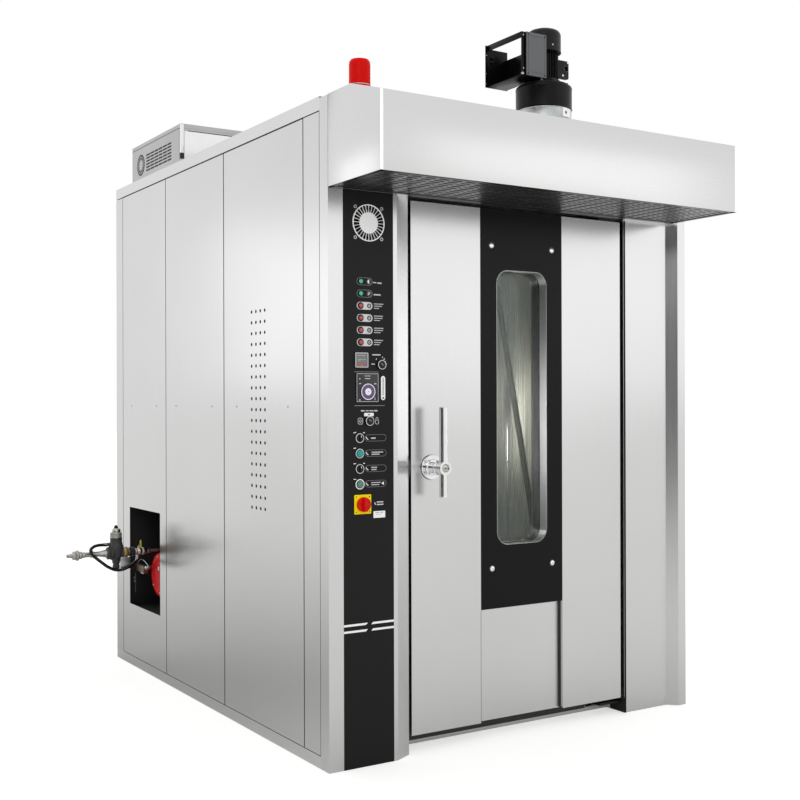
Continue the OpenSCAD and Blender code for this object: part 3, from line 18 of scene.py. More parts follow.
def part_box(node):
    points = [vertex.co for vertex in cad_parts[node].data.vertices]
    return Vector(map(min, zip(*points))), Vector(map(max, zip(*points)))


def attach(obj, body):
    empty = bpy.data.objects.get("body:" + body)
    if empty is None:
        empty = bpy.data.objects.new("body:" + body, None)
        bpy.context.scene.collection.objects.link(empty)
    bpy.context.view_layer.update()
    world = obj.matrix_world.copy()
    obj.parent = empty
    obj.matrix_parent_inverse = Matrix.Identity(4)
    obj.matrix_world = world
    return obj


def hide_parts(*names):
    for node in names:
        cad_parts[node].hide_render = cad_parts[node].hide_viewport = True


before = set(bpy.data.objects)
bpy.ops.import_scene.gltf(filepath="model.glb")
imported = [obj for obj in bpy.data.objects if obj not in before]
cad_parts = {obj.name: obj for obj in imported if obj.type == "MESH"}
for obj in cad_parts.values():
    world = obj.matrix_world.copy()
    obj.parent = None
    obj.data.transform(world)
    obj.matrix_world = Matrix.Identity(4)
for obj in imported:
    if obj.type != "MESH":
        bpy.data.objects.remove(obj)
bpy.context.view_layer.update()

LOG = logging.getLogger("rack_oven")
MM = 0.001
CORNER = Vector((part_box("roof_panel")[0].x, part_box("control_column")[0].y, 0.0))
BEVEL_FROM = math.radians(40)
SMOOTH_TO = math.radians(35)
UP, DOWN, FRONT, LEFT, RIGHT = (0, 0, 1), (0, 0, -1), (0, -1, 0), (-1, 0, 0), (1, 0, 0)

Piece = bpy.types.Object
Point = Sequence[float]
Outline = list[tuple[float, float]]


def at(point: Point) -> Vector:
    """Turn a point in mm from the casing's corner into metres in the model's frame."""
    return CORNER + Vector(point) * MM


def span(node: str) -> tuple[Vector, Vector]:
    """Give the low and high corner of a CAD node in mm from the casing's corner."""
    low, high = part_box(node)
    return (low - CORNER) / MM, (high - CORNER) / MM


def middle(node: str) -> Vector:
    """Give the middle of a CAD node's box, in mm from the casing's corner."""
    low, high = span(node)
    return (low + high) / 2


class Plane(Enum):
    """The plane that an outline is drawn on, named by the way it faces."""

    FRONT = "y"
    SIDE = "x"

    def point(self, u: float, v: float, level: float) -> Vector:
        """Place an outline's point (u, v) on the plane that lies at a level along its normal."""
        return Vector((u, level, v)) if self is Plane.FRONT else Vector((level, u, v))


def ellipse(u: float, v: float, ru: float, rv: float, count: int = 32) -> Outline:
    """Draw a round outline about (u, v) with half width ru and half height rv."""
    turns = [2 * math.pi * i / count for i in range(count)]
    return [(u + ru * math.cos(t), v + rv * math.sin(t)) for t in turns]


def rounded(u: float, v: float, width: float, height: float, radius: float, steps: int = 6) -> Outline:
    """Draw a rectangle with round corners; a radius of half its height makes a pill.

    Args:
        u: Middle along the first coordinate.
        v: Middle along the second coordinate.
        width: Size along the first coordinate.
        height: Size along the second coordinate.
        radius: Corner radius.
        steps: Pieces in each corner's arc.

    Returns:
        The outline's points.
    """
    points: Outline = []
    dx, dy = width / 2 - radius, height / 2 - radius
    for corner, (sx, sy) in enumerate(((1, 1), (-1, 1), (-1, -1), (1, -1))):
        for i in range(steps + 1):
            turn = math.pi / 2 * (corner + i / steps)
            points.append((u + sx * dx + radius * math.cos(turn), v + sy * dy + radius * math.sin(turn)))
    return points


def bar(u0: float, v0: float, u1: float, v1: float, width: float) -> Outline:
    """Draw a straight bar between two points.

    Args:
        u0: First coordinate of its start.
        v0: Second coordinate of its start.
        u1: First coordinate of its end.
        v1: Second coordinate of its end.
        width: How wide it is.

    Returns:
        Its four corners.
    """
    along = Vector((u1 - u0, v1 - v0)).normalized() * (width / 2)
    side = Vector((-along.y, along.x))
    return [(u0 - side.x, v0 - side.y), (u1 - side.x, v1 - side.y),
            (u1 + side.x, v1 + side.y), (u0 + side.x, v0 + side.y)]


def clear() -> None:
    """Leave edit mode and let go of everything."""
    if bpy.context.mode != "OBJECT":
        bpy.ops.object.mode_set(mode="OBJECT")
    bpy.ops.object.select_all(action="DESELECT")


def take(piece: Piece) -> None:
    """Make a piece the only selected and the active one.

    Args:
        piece: The piece.
    """
    clear()
    piece.select_set(True)
    bpy.context.view_layer.objects.active = piece


def settle() -> Piece:
    """Put the active piece's place, turn and scale into its mesh, and give the piece."""
    bpy.ops.object.transform_apply(location=True, rotation=True, scale=True)
    return bpy.context.active_object


def soften(piece: Piece, edge: float, segments: int = 2) -> Piece:
    """Round a piece's sharp edges, and shade what is blunt as smooth.

    Args:
        piece: The piece.
        edge: Radius in mm; at 0 no edge is rounded.
        segments: Faces across the round.

    Returns:
        The same piece.
    """
    take(piece)
    if edge > 0:
        bevel = piece.modifiers.new("edges", "BEVEL")
        bevel.width = edge * MM
        bevel.segments = segments
        bevel.limit_method = "ANGLE"
        bevel.angle_limit = BEVEL_FROM
        bevel.harden_normals = False
        bpy.ops.object.modifier_apply(modifier=bevel.name)
    bpy.ops.object.shade_smooth_by_angle(angle=SMOOTH_TO)
    return piece


def block(low: Point, high: Point, edge: float = 0.0, segments: int = 2) -> Piece:
    """Make a box with rounded edges.

    Args:
        low: Low corner in mm.
        high: High corner in mm.
        edge: Radius of its edges in mm.
        segments: Faces across each round.

    Returns:
        The piece.
    """
    clear()
    a, b = at(low), at(high)
    bpy.ops.mesh.primitive_cube_add(size=1, location=(a + b) / 2, scale=b - a)
    return soften(settle(), edge, segments)


def rod(start: Point, end: Point, radius: float, edge: float = 0.0, sides: int = 32,
        end_radius: float | None = None) -> Piece:
    """Make a round or many-sided rod, or a cone where its end has another radius.

    Args:
        start: Middle of its first end in mm.
        end: Middle of its second end in mm.
        radius: Radius in mm.
        edge: Radius of its rims in mm.
        sides: Number of sides.
        end_radius: Radius at the second end, where it differs.

    Returns:
        The piece.
    """
    clear()
    a, b = at(start), at(end)
    bpy.ops.mesh.primitive_cone_add(
        vertices=sides, radius1=radius * MM, radius2=(radius if end_radius is None else end_radius) * MM,
        depth=(b - a).length, location=(a + b) / 2, rotation=(b - a).to_track_quat("Z", "Y").to_euler())
    return soften(settle(), edge)


def outlined(points: Sequence[Vector], filled: bool) -> Piece:
    """Add a circle with a corner for each point, move the corners there, and enter edit mode.

    Args:
        points: Where the corners go, in metres.
        filled: Whether the circle is one face.

    Returns:
        The circle, selected all over.
    """
    clear()
    bpy.ops.mesh.primitive_circle_add(vertices=len(points), radius=1, fill_type="NGON" if filled else "NOTHING")
    circle = bpy.context.active_object
    for vertex, point in zip(circle.data.vertices, points):
        vertex.co = point
    bpy.ops.object.mode_set(mode="EDIT")
    bpy.ops.mesh.select_all(action="SELECT")
    return circle


def outwards() -> None:
    """Turn the faces of the piece in edit mode to the outside, and leave edit mode."""
    bpy.ops.mesh.select_all(action="SELECT")
    bpy.ops.mesh.normals_make_consistent(inside=False)
    bpy.ops.object.mode_set(mode="OBJECT")


def turned(foot: Point, way: Point, profile: Outline, edge: float = 0.0, steps: int = 48) -> Piece:
    """Turn a piece on a lathe.

    Args:
        foot: Start of its axis in mm.
        way: Direction of its axis.
        profile: Radius and height of each corner in mm, as a closed outline.
        edge: Radius of its rims in mm.
        steps: Faces round the axis.

    Returns:
        The piece.
    """
    piece = outlined([Vector((r * MM, 0, h * MM)) for r, h in profile], filled=False)
    bpy.ops.mesh.spin(steps=steps, angle=2 * math.pi, center=(0, 0, 0), axis=(0, 0, 1))
    bpy.ops.mesh.select_all(action="SELECT")
    bpy.ops.mesh.remove_doubles(threshold=1e-6)
    bpy.ops.mesh.delete_loose(use_verts=True, use_edges=True, use_faces=False)
    outwards()
    piece.location = at(foot)
    piece.rotation_euler = Vector(way).to_track_quat("Z", "Y").to_euler()
    return soften(settle(), edge)


def plate(plane: Plane, outline: Outline, level: float, thickness: float, edge: float = 0.0,
          rim: float = 0.0) -> Piece:
    """Cut a plate, or only the rim of one, from an outline.

    Args:
        plane: The plane that the outline is drawn on.
        outline: The outline's points in mm.
        level: Where the plate starts along the plane's normal.
        thickness: How far it reaches from there; it may be negative.
        edge: Radius of its edges in mm.
        rim: Width of the rim that is kept; 0 keeps the whole plate.

    Returns:
        The piece.
    """
    outlined([at(plane.point(u, v, level)) for u, v in outline], filled=True)
    if rim > 0:
        bpy.ops.mesh.inset(thickness=rim * MM, use_even_offset=True)
        bpy.ops.mesh.delete(type="ONLY_FACE")
        bpy.ops.mesh.select_all(action="SELECT")
    bpy.ops.mesh.extrude_region_move(TRANSFORM_OT_translate={"value": plane.point(0, 0, 1) * (thickness * MM)})
    outwards()
    return soften(settle(), edge)


def hose(route: Sequence[Point], radius: float, sides: int = 4) -> Piece:
    """Bend a tube through the points of a route.

    Args:
        route: The route's points in mm.
        radius: The tube's radius in mm.
        sides: Half the faces round a quarter of the tube.

    Returns:
        The tube, as a mesh.
    """
    clear()
    curve = bpy.data.curves.new("hose", "CURVE")
    curve.dimensions = "3D"
    curve.bevel_depth = radius * MM
    curve.bevel_resolution = sides
    curve.use_fill_caps = True
    curve.resolution_u = 6
    line = curve.splines.new("BEZIER")
    line.bezier_points.add(len(route) - 1)
    for knot, point in zip(line.bezier_points, route):
        knot.co = at(point)
        knot.handle_left_type = knot.handle_right_type = "AUTO"
    tube = bpy.data.objects.new("hose", curve)
    bpy.context.collection.objects.link(tube)
    take(tube)
    bpy.ops.object.convert(target="MESH")
    return soften(settle(), 0.0)


def twin(piece: Piece, shift: Point, turn: Matrix | None = None) -> Piece:
    """Copy a piece with a mesh of its own.

    Args:
        piece: The piece.
        shift: How far the copy is moved, in mm.
        turn: A turn in the model's frame, made before the move.

    Returns:
        The copy.
    """
    copy = bpy.data.objects.new("twin", piece.data.copy())
    bpy.context.collection.objects.link(copy)
    copy.data.transform(Matrix.Translation(Vector(shift) * MM) @ (turn or Matrix.Identity(4)))
    return copy


def row(piece: Piece, shifts: Iterable[Point]) -> list[Piece]:
    """Give a piece and its copies at every shift in mm."""
    return [piece] + [twin(piece, shift) for shift in shifts]


def about(centre: Point, axis: str, angle: float) -> Matrix:
    """Turn about an axis through a point that is given in mm."""
    pivot = at(centre)
    return Matrix.Translation(pivot) @ Matrix.Rotation(angle, 4, axis) @ Matrix.Translation(-pivot)


def spread(piece: Piece, count: int, centre: Point, axis: str) -> list[Piece]:
    """Copy a model evenly round an axis, and throw the model away.

    Args:
        piece: The model.
        count: Number of copies.
        centre: A point on the axis, in mm.
        axis: The axis's letter.

    Returns:
        The copies.
    """
    copies = [twin(piece, (0, 0, 0), about(centre, axis, 2 * math.pi * i / count)) for i in range(count)]
    bpy.data.objects.remove(piece, do_unlink=True)
    return copies


def join(parts: Sequence[Piece]) -> Piece:
    """Join pieces of one finish into one.

    Args:
        parts: The pieces.

    Returns:
        The joined piece.
    """
    take(parts[0])
    for part in parts:
        part.select_set(True)
    if len(parts) > 1:
        bpy.ops.object.join()
    return settle()


def cut(piece: Piece, *cutters: Piece) -> Piece:
    """Cut other pieces out of a piece, and throw them away.

    Args:
        piece: The piece that stays.
        cutters: The pieces that are cut out.

    Returns:
        The piece that stays.
    """
    for cutter in cutters:
        take(piece)
        knife = piece.modifiers.new("cut", "BOOLEAN")
        knife.operation = "DIFFERENCE"
        knife.solver = "EXACT"
        knife.object = cutter
        bpy.ops.object.modifier_apply(modifier=knife.name)
        bpy.data.objects.remove(cutter, do_unlink=True)
    return soften(piece, 0.0)


def prints(outlines: Iterable[Outline], level: float = -0.3, rim: float = 0.0, thickness: float = 0.6) -> list[Piece]:
    """Lay thin printed marks or tags on a face that looks to the front.

    Args:
        outlines: Their outlines in mm, on the front plane.
        level: Where their faces lie.
        rim: Width of an outline that is only a rim; 0 fills it.
        thickness: How thick they are.

    Returns:
        The marks.
    """
    return [plate(Plane.FRONT, outline, level, thickness, rim=rim) for outline in outlines]


def screws(places: Sequence[Point], way: Point, radius: float, dome: float = 1.6) -> list[Piece]:
    """Model one pan-head screw with a cross recess and copy it to every place.

    Args:
        places: Where the heads sit on their face, in mm.
        way: The way that the heads look.
        radius: Head radius in mm.
        dome: Height of the head in mm.

    Returns:
        The screws.
    """
    profile = [(0.0, -0.4), (radius, -0.4), (radius * 0.93, dome * 0.55), (radius * 0.62, dome * 0.9), (0.0, dome)]
    first = turned(places[0], way, profile, steps=20)
    turn = Vector(way).to_track_quat("Z", "Y").to_matrix().to_4x4()
    slots = []
    for spin in (0.4, 0.4 + math.pi / 2):
        cutter = block((0, 0, 0), (1, 1, 1))
        cutter.data.transform(Matrix.Translation(-at((0.5, 0.5, 0.5))))
        cutter.data.transform(Matrix.Diagonal((radius * 1.1, radius * 0.22, dome * 0.8, 1.0)))
        cutter.data.transform(Matrix.Translation(at(places[0])) @ turn @ Matrix.Translation((0, 0, dome * MM))
                              @ Matrix.Rotation(spin, 4, "Z"))
        slots.append(cutter)
    cut(first, *slots)
    return row(first, (Vector(place) - Vector(places[0]) for place in places[1:]))


def linear(code: str) -> tuple[float, float, float, float]:
    """Turn an sRGB hex colour into the linear colour that a shader takes.

    Args:
        code: Six hex digits after a hash sign.

    Returns:
        Red, green, blue and an alpha of 1.
    """
    parts = [int(code[i:i + 2], 16) / 255 for i in (1, 3, 5)]
    red, green, blue = (c / 12.92 if c <= 0.04045 else ((c + 0.055) / 1.055) ** 2.4 for c in parts)
    return red, green, blue, 1.0


def wire(tree: bpy.types.NodeTree, kind: str, inputs: dict[str | int, object], out: str | int = 0,
         **settings: object) -> bpy.types.NodeSocket:
    """Add a shader node, and fill or link its inputs.

    Args:
        tree: The node tree.
        kind: The node's kind.
        inputs: A value or an output socket for each input that is set.
        out: Which output is given.
        settings: The node's own properties.

    Returns:
        The output.
    """
    made = tree.nodes.new(f"ShaderNode{kind}")
    for key, value in settings.items():
        setattr(made, key, value)
    for key, value in inputs.items():
        if isinstance(value, bpy.types.NodeSocket):
            tree.links.new(value, made.inputs[key])
        else:
            made.inputs[key].default_value = value
    return made.outputs[out]


def per_mm(size: float) -> float:
    """Give the scale at which a noise has features of about this size in mm."""
    return 1.0 / (size * MM)


class Grain(Enum):
    """Which way the lines of a brushed or drawn surface run."""

    UPRIGHT = (1.0, 1.0, 0.012)
    ACROSS = (0.012, 1.0, 1.0)
    DEEP = (1.0, 0.012, 1.0)
    NONE = (1.0, 1.0, 1.0)


@dataclass(frozen=True)
class Finish:
    """A base colour, its gloss, and the fine grain and broad clouds of how the surface was made.

    Attributes:
        name: The material's name.
        colour: The main colour.
        worn: The colour that grain and clouds lead to.
        roughness: Middle of the gloss.
        spread: How far the grain moves the gloss to both sides.
        grain_mm: Size of the grain.
        relief: Depth of the grain in mm; 0 leaves it out.
        cloud_mm: Size of the clouds.
        cloud: The clouds' share in the colour.
        metallic: 1 for bare metal.
        grain: Which way the grain runs.
        coat: Share of a clear coat.
        glow: Strength of its own light, for what is lit from behind, and painted light for what must stay white.
        mirror: Strength of the mirrored room on what isn't metal.
        alpha: Share of the light that doesn't pass straight through.
    """

    name: str
    colour: str
    worn: str
    roughness: float
    spread: float
    grain_mm: float
    relief: float
    cloud_mm: float
    cloud: float
    metallic: float = 0.0
    grain: Grain = Grain.NONE
    coat: float = 0.0
    glow: float = 0.0
    mirror: float = 0.5
    alpha: float = 1.0

    def build(self) -> bpy.types.Material:
        """Make the material, with its grain in the colour, the gloss and the relief.

        Returns:
            The material.
        """
        made = bpy.data.materials.new(self.name)
        made.use_nodes = True
        tree = made.node_tree
        shader = tree.nodes["Principled BSDF"].inputs
        place = wire(tree, "TexCoord", {}, "Object")
        drawn = wire(tree, "Mapping", {"Vector": place, "Scale": self.grain.value})
        fine = wire(tree, "TexNoise", {
            "Vector": drawn, "Scale": per_mm(self.grain_mm), "Detail": 3.0, "Roughness": 0.6})
        broad = wire(tree, "TexNoise", {"Vector": place, "Scale": per_mm(self.cloud_mm), "Detail": 2.0})
        mixed = wire(tree, "Math", {0: fine, 1: 1.0 - self.cloud}, operation="MULTIPLY")
        share = wire(tree, "Math", {0: broad, 1: self.cloud, 2: mixed}, operation="MULTIPLY_ADD")
        spread = wire(tree, "MapRange", {"Value": share, "From Min": 0.3, "From Max": 0.7})
        tint = wire(tree, "Mix", {"Factor": spread, 6: linear(self.colour), 7: linear(self.worn)}, 2,
                    data_type="RGBA")
        gloss = wire(tree, "MapRange", {
            "Value": fine, "From Min": 0.3, "From Max": 0.7,
            "To Min": max(self.roughness - self.spread, 0.02), "To Max": self.roughness + self.spread})
        tree.links.new(tint, shader["Base Color"])
        tree.links.new(gloss, shader["Roughness"])
        shader["Metallic"].default_value = self.metallic
        shader["Coat Weight"].default_value = self.coat
        shader["Specular IOR Level"].default_value = self.mirror
        shader["Alpha"].default_value = self.alpha
        if self.relief > 0:
            bump = wire(tree, "Bump", {"Height": fine, "Strength": 0.5, "Distance": self.relief * MM})
            tree.links.new(bump, shader["Normal"])
        if self.glow > 0:
            shader["Emission Color"].default_value = linear(self.colour)
            shader["Emission Strength"].default_value = self.glow
        return made


@dataclass(frozen=True)
class Metal(Finish):
    """A finish of bare metal, or of glass that mirrors as evenly."""

    metallic: float = 1.0


FINISHES: dict[str, Finish] = {
    finish.name: finish for finish in (
        # Cold-rolled stainless sheet brushed upwards: long fine lines with a soft, wide highlight.
        # The lines are drawn 3 mm wide, because real ones of 0.2 mm wouldn't show.
        Metal("stainless_brushed_upright", "#cbcbcb", "#d2d2d2", 0.25, 0.02, 3, 0.004, 700, 0.6,
              grain=Grain.UPRIGHT),
        # The same sheet folded with its lines running along the hood.
        Metal("stainless_brushed_across", "#d2d2d2", "#d7d7d7", 0.28, 0.01, 3, 0.0012, 900, 0.8,
              grain=Grain.ACROSS),
        # The hood's front corners: a painted highlight strip, bright and glowing a little.
        Finish("stainless_corner_highlight", "#f4f4f4", "#fdfdfd", 0.40, 0.02, 3, 0, 300, 0.6, metallic=0.5,
               grain=Grain.UPRIGHT, glow=0.35),
        # The roof box's lid, front skin and corner post: the same sheet painted brighter, as a painted highlight.
        Metal("stainless_roof_box_lit", "#e9e9e9", "#f2f2f2", 0.32, 0.02, 3, 0.002, 500, 0.7, grain=Grain.ACROSS),
        # The roof box's own sheet: painted darker than the rest as painted shade, and a little rougher.
        Metal("stainless_roof_box_shaded", "#acacac", "#bababa", 0.34, 0.03, 4, 0.01, 200, 0.6),
        # Rack carrier in smoked stainless bar.
        Metal("stainless_smoked", "#45433e", "#6b685f", 0.30, 0.08, 6, 0.02, 120, 0.6, grain=Grain.UPRIGHT),
        # Stainless sheet in the dark under the hood, dull from steam; its darker colour is painted shade.
        Metal("stainless_steamed_and_shaded", "#6f7072", "#8a8b8d", 0.34, 0.10, 5, 0.02, 160, 0.5, grain=Grain.ACROSS),
        # The hood's inner lips, in its own shadow.
        Metal("stainless_shaded", "#3c3d3e", "#4c4d4e", 0.36, 0.06, 5, 0.01, 160, 0.5, grain=Grain.ACROSS),
        # Chamber lining of mill-finish stainless, with straw and grey heat tints in broad clouds.
        Metal("stainless_heat_tinted", "#c6c7c0", "#a3a097", 0.30, 0.10, 8, 0.03, 420, 0.75, grain=Grain.UPRIGHT),
        # Smooth powder-coated steel, satin black with a fine orange peel.
        Finish("powder_coat_black", "#111112", "#171718", 0.40, 0.04, 2.2, 0.02, 400, 0.3, mirror=0.18),
        # The door's window plate: the same coat, baked a little glossier.
        Finish("plate_black", "#0c0c0c", "#111112", 0.30, 0.04, 2.2, 0.02, 400, 0.3, mirror=0.13),
        # Black enamel paint on rolled steel: smoother and glossier than the powder coat.
        Finish("paint_black_satin", "#070708", "#0c0c0d", 0.30, 0.05, 4, 0.03, 90, 0.4, mirror=0.16),
        # Sand-cast aluminium under black paint: a pebbled skin with rubbed, greyer high spots.
        Finish("cast_painted_black", "#0d0e0f", "#191a1b", 0.36, 0.08, 2.5, 0.12, 60, 0.4, mirror=0.22),
        # The regulator's casting in dark grey hammered paint.
        Finish("cast_painted_grey", "#393a3b", "#4c4d4e", 0.42, 0.08, 2.5, 0.15, 40, 0.4, mirror=0.3),
        # Die-cast lid in mid grey stove enamel.
        Finish("stove_enamel_grey", "#606163", "#68696b", 0.48, 0.05, 2, 0.04, 120, 0.3),
        # Polished stainless bar: mirror bright, with the faintest lines left from turning.
        Metal("stainless_polished", "#dfe0e1", "#efeff0", 0.09, 0.03, 6, 0.004, 80, 0.3),
        # Nickel-plated fittings: bright, a little warm, softly dimpled.
        Metal("nickel_plated", "#a5a29d", "#c4c1bb", 0.20, 0.06, 5, 0.03, 30, 0.4),
        # Turned brass, dulled by handling.
        Metal("brass_turned", "#b89b6b", "#9c7c4c", 0.28, 0.08, 4, 0.03, 25, 0.5),
        # Zinc-plated pipe: grey with a mottled spangle.
        Metal("zinc_dark", "#4a4b4d", "#626466", 0.36, 0.08, 5, 0.02, 20, 0.4),
        # Window sleeve and inner trims: satin stainless with a faint grain along the edge.
        Metal("stainless_satin_sleeve", "#c9cacb", "#d6d7d8", 0.38, 0.05, 3, 0.01, 200, 0.4, grain=Grain.DEEP),
        Metal("zinc_plated", "#a9acae", "#c2c4c5", 0.34, 0.10, 9, 0.02, 40, 0.5),
        # Hot-rolled steel that has been fired: brown-grey scale.
        Finish("steel_fired", "#6b6256", "#8a8276", 0.55, 0.12, 12, 0.2, 150, 0.6, metallic=0.8),
        # Gloss enamel in signal red on the burner's casing.
        Finish("enamel_red", "#b8090f", "#cd0f13", 0.24, 0.04, 5, 0.03, 90, 0.4, mirror=0.05),
        # Yellow vinyl dip on the valve's lever.
        Finish("vinyl_yellow", "#b9b021", "#cfc53a", 0.42, 0.06, 3, 0.05, 20, 0.4),
        # EPDM rubber: deep black with a soft sheen.
        Finish("rubber_gloss", "#0b0b0c", "#141415", 0.14, 0.04, 3, 0.03, 30, 0.4, mirror=0.4),
        Finish("rubber_black", "#151516", "#202021", 0.40, 0.08, 2, 0.05, 60, 0.4),
        # Blue hammered paint on the gear motor.
        Finish("hammered_blue", "#3f5a6f", "#587489", 0.36, 0.06, 7, 0.4, 90, 0.2, metallic=0.2),
        # Mineral wool: dull, fibrous, straw coloured.
        Finish("mineral_wool", "#b9a877", "#94855c", 0.95, 0.04, 3, 1.5, 120, 0.4, grain=Grain.ACROSS),
        # White ABS of the fan's guard, with the sheen of the mould; its glow is painted light that keeps it white.
        Finish("abs_white_painted_glow", "#f2f2f2", "#fafafa", 0.42, 0.04, 1.5, 0.03, 60, 0.2, glow=0.16),
        # Black phenolic of the knobs.
        Finish("phenolic_black", "#0f0f10", "#171718", 0.30, 0.05, 1.2, 0.02, 20, 0.3, mirror=0.3),
        # Dark polycarbonate of the controller's face.
        Finish("polycarbonate_dark", "#1f1d24", "#29262f", 0.26, 0.04, 1.2, 0.01, 30, 0.3),
        # Silvered display window of the timer.
        Finish("display_silver", "#6a716e", "#79807d", 0.30, 0.04, 1.5, 0.01, 15, 0.4, metallic=0.2,
               grain=Grain.ACROSS),
        # Acrylic ring of the dial, pale violet.
        Finish("acrylic_violet", "#8d7fc0", "#b3a8dc", 0.22, 0.04, 2, 0.01, 12, 0.6, glow=0.12),
        # Clear acrylic lenses over small lamps, lit green or unlit red.
        Finish("acrylic_green", "#17a878", "#2fc795", 0.18, 0.04, 1.5, 0.02, 8, 0.5, coat=0.5, glow=0.22),
        Finish("acrylic_red", "#b52a2a", "#cf4a45", 0.18, 0.04, 1.5, 0.02, 8, 0.5, coat=0.5),
        # Moulded push buttons in sea green.
        Finish("abs_teal", "#2f9f9c", "#45b3ae", 0.34, 0.05, 1.2, 0.02, 12, 0.4, mirror=0.2),
        # Main switch: gloss red grip on a yellow plate; the plate's faint glow is painted light.
        Finish("abs_red", "#d60b0a", "#e41410", 0.26, 0.04, 1.5, 0.02, 30, 0.3, mirror=0.16),
        Finish("abs_yellow_painted_glow", "#ffe000", "#ffea1c", 0.34, 0.04, 1.5, 0.02, 30, 0.3, glow=0.08, mirror=0.1),
        # Red polycarbonate dome of the beacon, glossy and a little deep.
        Finish("polycarbonate_red", "#cf0a07", "#de130e", 0.20, 0.03, 3, 0.02, 40, 0.4, glow=0.10, mirror=0.06),
        # Screen-printed white ink and white polyester tags; their glow is painted light that keeps them white.
        Finish("ink_white_painted_glow", "#ececec", "#f8f8f8", 0.55, 0.05, 1, 0, 20, 0.3, glow=0.18),
        Finish("ink_dim", "#8b8c8e", "#9fa0a2", 0.55, 0.05, 1, 0, 20, 0.3),
        Finish("ink_soft", "#cfcfd0", "#e2e2e3", 0.55, 0.05, 1, 0, 20, 0.3),
        Finish("ink_pill", "#dcdcdc", "#ebebeb", 0.50, 0.05, 1, 0, 20, 0.3),
        Finish("ink_black", "#161617", "#202022", 0.50, 0.05, 1, 0, 20, 0.3),
        # Frosted and tinted acrylic round the dial, lit from behind.
        Finish("acrylic_white", "#ece8f4", "#ffffff", 0.25, 0.04, 2, 0.01, 12, 0.5, glow=0.10),
        Finish("acrylic_dusk", "#4f4168", "#655680", 0.24, 0.04, 2, 0.01, 12, 0.5),
        Finish("acrylic_sea", "#4f7f6c", "#6c9a88", 0.24, 0.04, 1.5, 0.02, 10, 0.5, mirror=0.3),
        Finish("polycarbonate_light", "#b4b6b9", "#c6c8ca", 0.34, 0.05, 1.2, 0.02, 30, 0.2),
        Finish("display_red", "#d2312a", "#e4483e", 0.40, 0.05, 1, 0, 20, 0.3, glow=0.2),
        # Near-black primer: the dark of joints between panels, and painted shade on the bare inside of the burner
        # bay, in slots, openings and recesses, and behind vents.
        Finish("primer_dark_and_shade", "#121213", "#1a1a1b", 0.70, 0.08, 4, 0.05, 90, 0.5),
        # Heat-resistant float glass: clear, faintly green, with a thin mirror-like face.
        Metal("float_glass", "#cfdcd6", "#dfe9e4", 0.03, 0.01, 50, 0, 400, 0.3, alpha=0.028),
        # Ribbed cover glass over the oven lamp, lit from behind.
        Finish("lamp_glass", "#f1ead6", "#fdf8ea", 0.30, 0.05, 4, 0.2, 200, 0.3, grain=Grain.UPRIGHT, glow=3),
    )
}


@cache
def material(name: str) -> bpy.types.Material:
    """Build a finish's material once, when a piece first asks for it."""
    return FINISHES[name].build()


